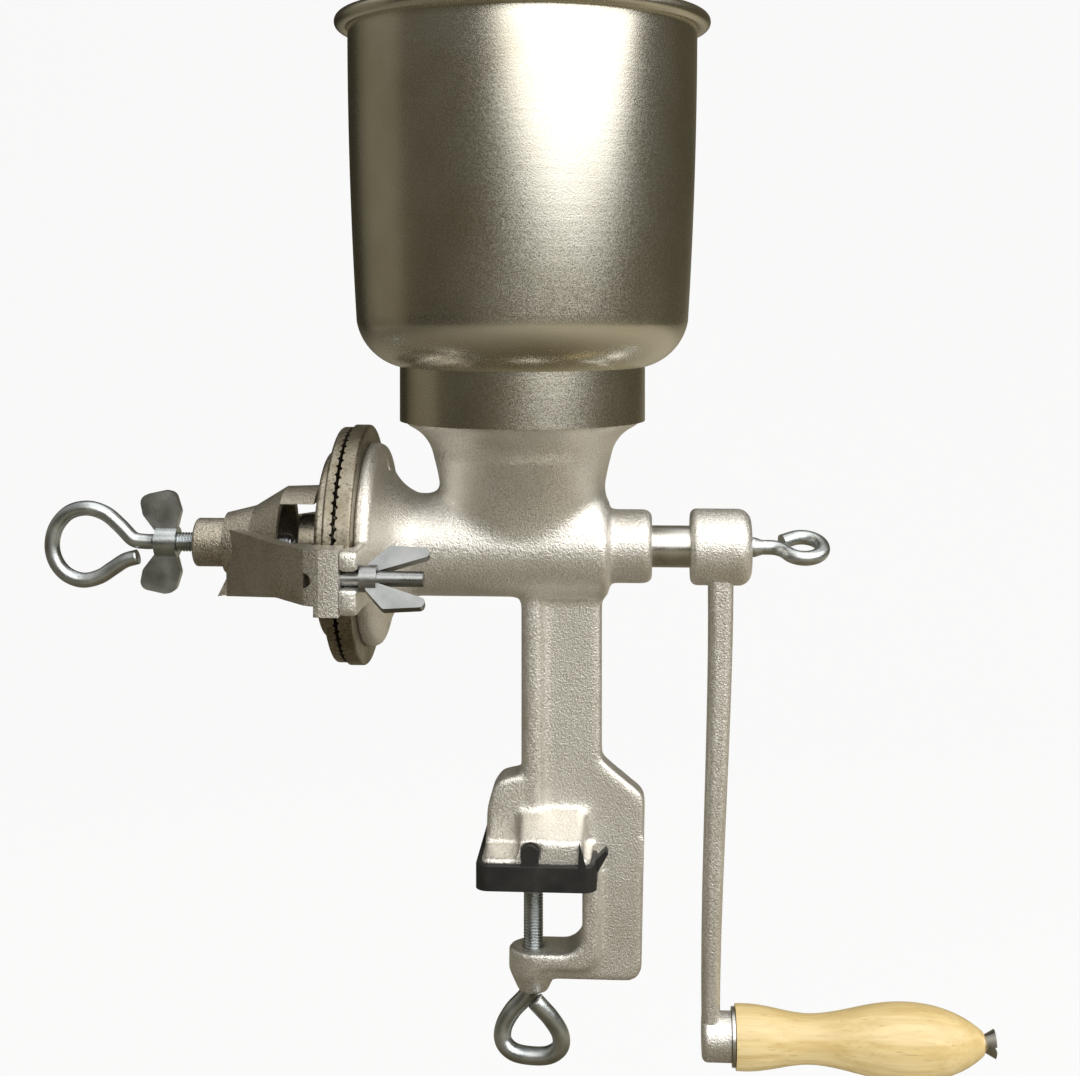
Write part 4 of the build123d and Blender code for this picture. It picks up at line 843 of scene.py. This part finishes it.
def make_floor():
    """A pale studio sweep below and behind the part."""
    profile = [(FLOOR_FRONT, FLOOR_Z), (SWEEP_START, FLOOR_Z)]
    for index in range(1, SWEEP_STEPS + 1):
        angle = radians(90 * index / SWEEP_STEPS)
        profile.append((
            SWEEP_START + SWEEP_RADIUS * sin(angle),
            FLOOR_Z + SWEEP_RADIUS * (1 - cos(angle)),
        ))
    profile.append((SWEEP_START + SWEEP_RADIUS, BACKDROP_TOP))
    vertices = []
    faces = []
    for index, (y, z) in enumerate(profile):
        vertices += [(-FLOOR_HALF_WIDTH, y, z), (FLOOR_HALF_WIDTH, y, z)]
        if index:
            low = 2 * index
            faces.append((low - 2, low - 1, low + 1, low))
    mesh = bpy.data.meshes.new("floor")
    mesh.from_pydata(vertices, [], faces)
    mesh.update()
    mesh.polygons.foreach_set("use_smooth", [True] * len(mesh.polygons))
    floor = bpy.data.objects.new("floor", mesh)
    scene.collection.objects.link(floor)
    material = bpy.data.materials.new("pale_floor")
    material.use_nodes = True
    tree = material.node_tree
    tree.nodes.clear()
    output = tree.nodes.new("ShaderNodeOutputMaterial")
    matte = tree.nodes.new("ShaderNodeBsdfDiffuse")
    matte.inputs["Color"].default_value = (*FLOOR_COLOUR, 1)
    glow = tree.nodes.new("ShaderNodeEmission")
    glow.inputs["Color"].default_value = (1.0, 1.0, 1.0, 1)
    glow.inputs["Strength"].default_value = FLOOR_GLOW
    path = tree.nodes.new("ShaderNodeLightPath")
    seen = tree.nodes.new("ShaderNodeMixShader")
    weight = tree.nodes.new("ShaderNodeMath")
    weight.operation = "MULTIPLY"
    weight.inputs[1].default_value = FLOOR_GLOW_SHARE
    tree.links.new(path.outputs["Is Camera Ray"], weight.inputs[0])
    tree.links.new(weight.outputs["Value"], seen.inputs["Fac"])
    tree.links.new(matte.outputs["BSDF"], seen.inputs[1])
    tree.links.new(glow.outputs["Emission"], seen.inputs[2])
    # in reflections the floor is dim under the part as a painted shadow, paler further out, and the backdrop a
    # dim olive, all of it dimmer towards minus X
    place = tree.nodes.new("ShaderNodeNewGeometry")
    split = tree.nodes.new("ShaderNodeSeparateXYZ")
    tree.links.new(place.outputs["Position"], split.inputs["Vector"])
    centre = tree.nodes.new("ShaderNodeVectorMath")
    centre.operation = "LENGTH"
    flat = tree.nodes.new("ShaderNodeCombineXYZ")
    tree.links.new(split.outputs["X"], flat.inputs["X"])
    tree.links.new(split.outputs["Y"], flat.inputs["Y"])
    tree.links.new(flat.outputs["Vector"], centre.inputs[0])
    reach = tree.nodes.new("ShaderNodeMapRange")
    reach.inputs["From Max"].default_value = 4.0
    tree.links.new(centre.outputs["Value"], reach.inputs["Value"])
    ramp = tree.nodes.new("ShaderNodeValToRGB")
    stops = (
        (0.04, FLOOR_SHADOW_REFLECTED),
        (0.22, FLOOR_REFLECTED),
        (0.40, FLOOR_REFLECTED),
        (0.60, BACKDROP_REFLECTED),
    )
    set_stops(ramp, stops)
    tree.links.new(reach.outputs["Result"], ramp.inputs["Fac"])
    sideways = tree.nodes.new("ShaderNodeMapRange")
    sideways.inputs["From Min"].default_value = -1.1
    sideways.inputs["From Max"].default_value = 0.5
    sideways.inputs["To Min"].default_value = 0.30
    tree.links.new(split.outputs["X"], sideways.inputs["Value"])
    mirrored = tree.nodes.new("ShaderNodeEmission")
    tree.links.new(ramp.outputs["Color"], mirrored.inputs["Color"])
    tree.links.new(sideways.outputs["Result"], mirrored.inputs["Strength"])
    final = tree.nodes.new("ShaderNodeMixShader")
    tree.links.new(path.outputs["Is Glossy Ray"], final.inputs["Fac"])
    tree.links.new(seen.outputs["Shader"], final.inputs[1])
    tree.links.new(mirrored.outputs["Emission"], final.inputs[2])
    tree.links.new(final.outputs["Shader"], output.inputs["Surface"])
    mesh.materials.append(material)


make_camera()
make_world()
make_lights()
make_floor()
scene.view_settings.view_transform = "Standard"

materials = {
    "tinned_iron": tinned_iron(),
    "tinplate": tinplate(),
    "plate_iron": plate_iron(),
    "zinc_steel": zinc_steel(),
    "bare_steel": bare_steel(),
    "pale_wood": pale_wood(),
    "black_rubber": black_rubber(),
}
dress_nodes(materials)
cast_body(materials["tinned_iron"])
spun_hopper(materials["tinplate"])
adjusting_screw(materials["zinc_steel"])
clamp_screw(materials["zinc_steel"])
for node, width in (
    ("crank_arm", 1.0),
    ("front_bridge", 0.8),
    ("rubber_shoe", 0.5),
    ("bridge_wing_nut_near", 1.1),
    ("bridge_wing_nut_far", 1.1),
    ("lock_wing_nut", 1.3),
):
    soften_edges(node, width * MM)
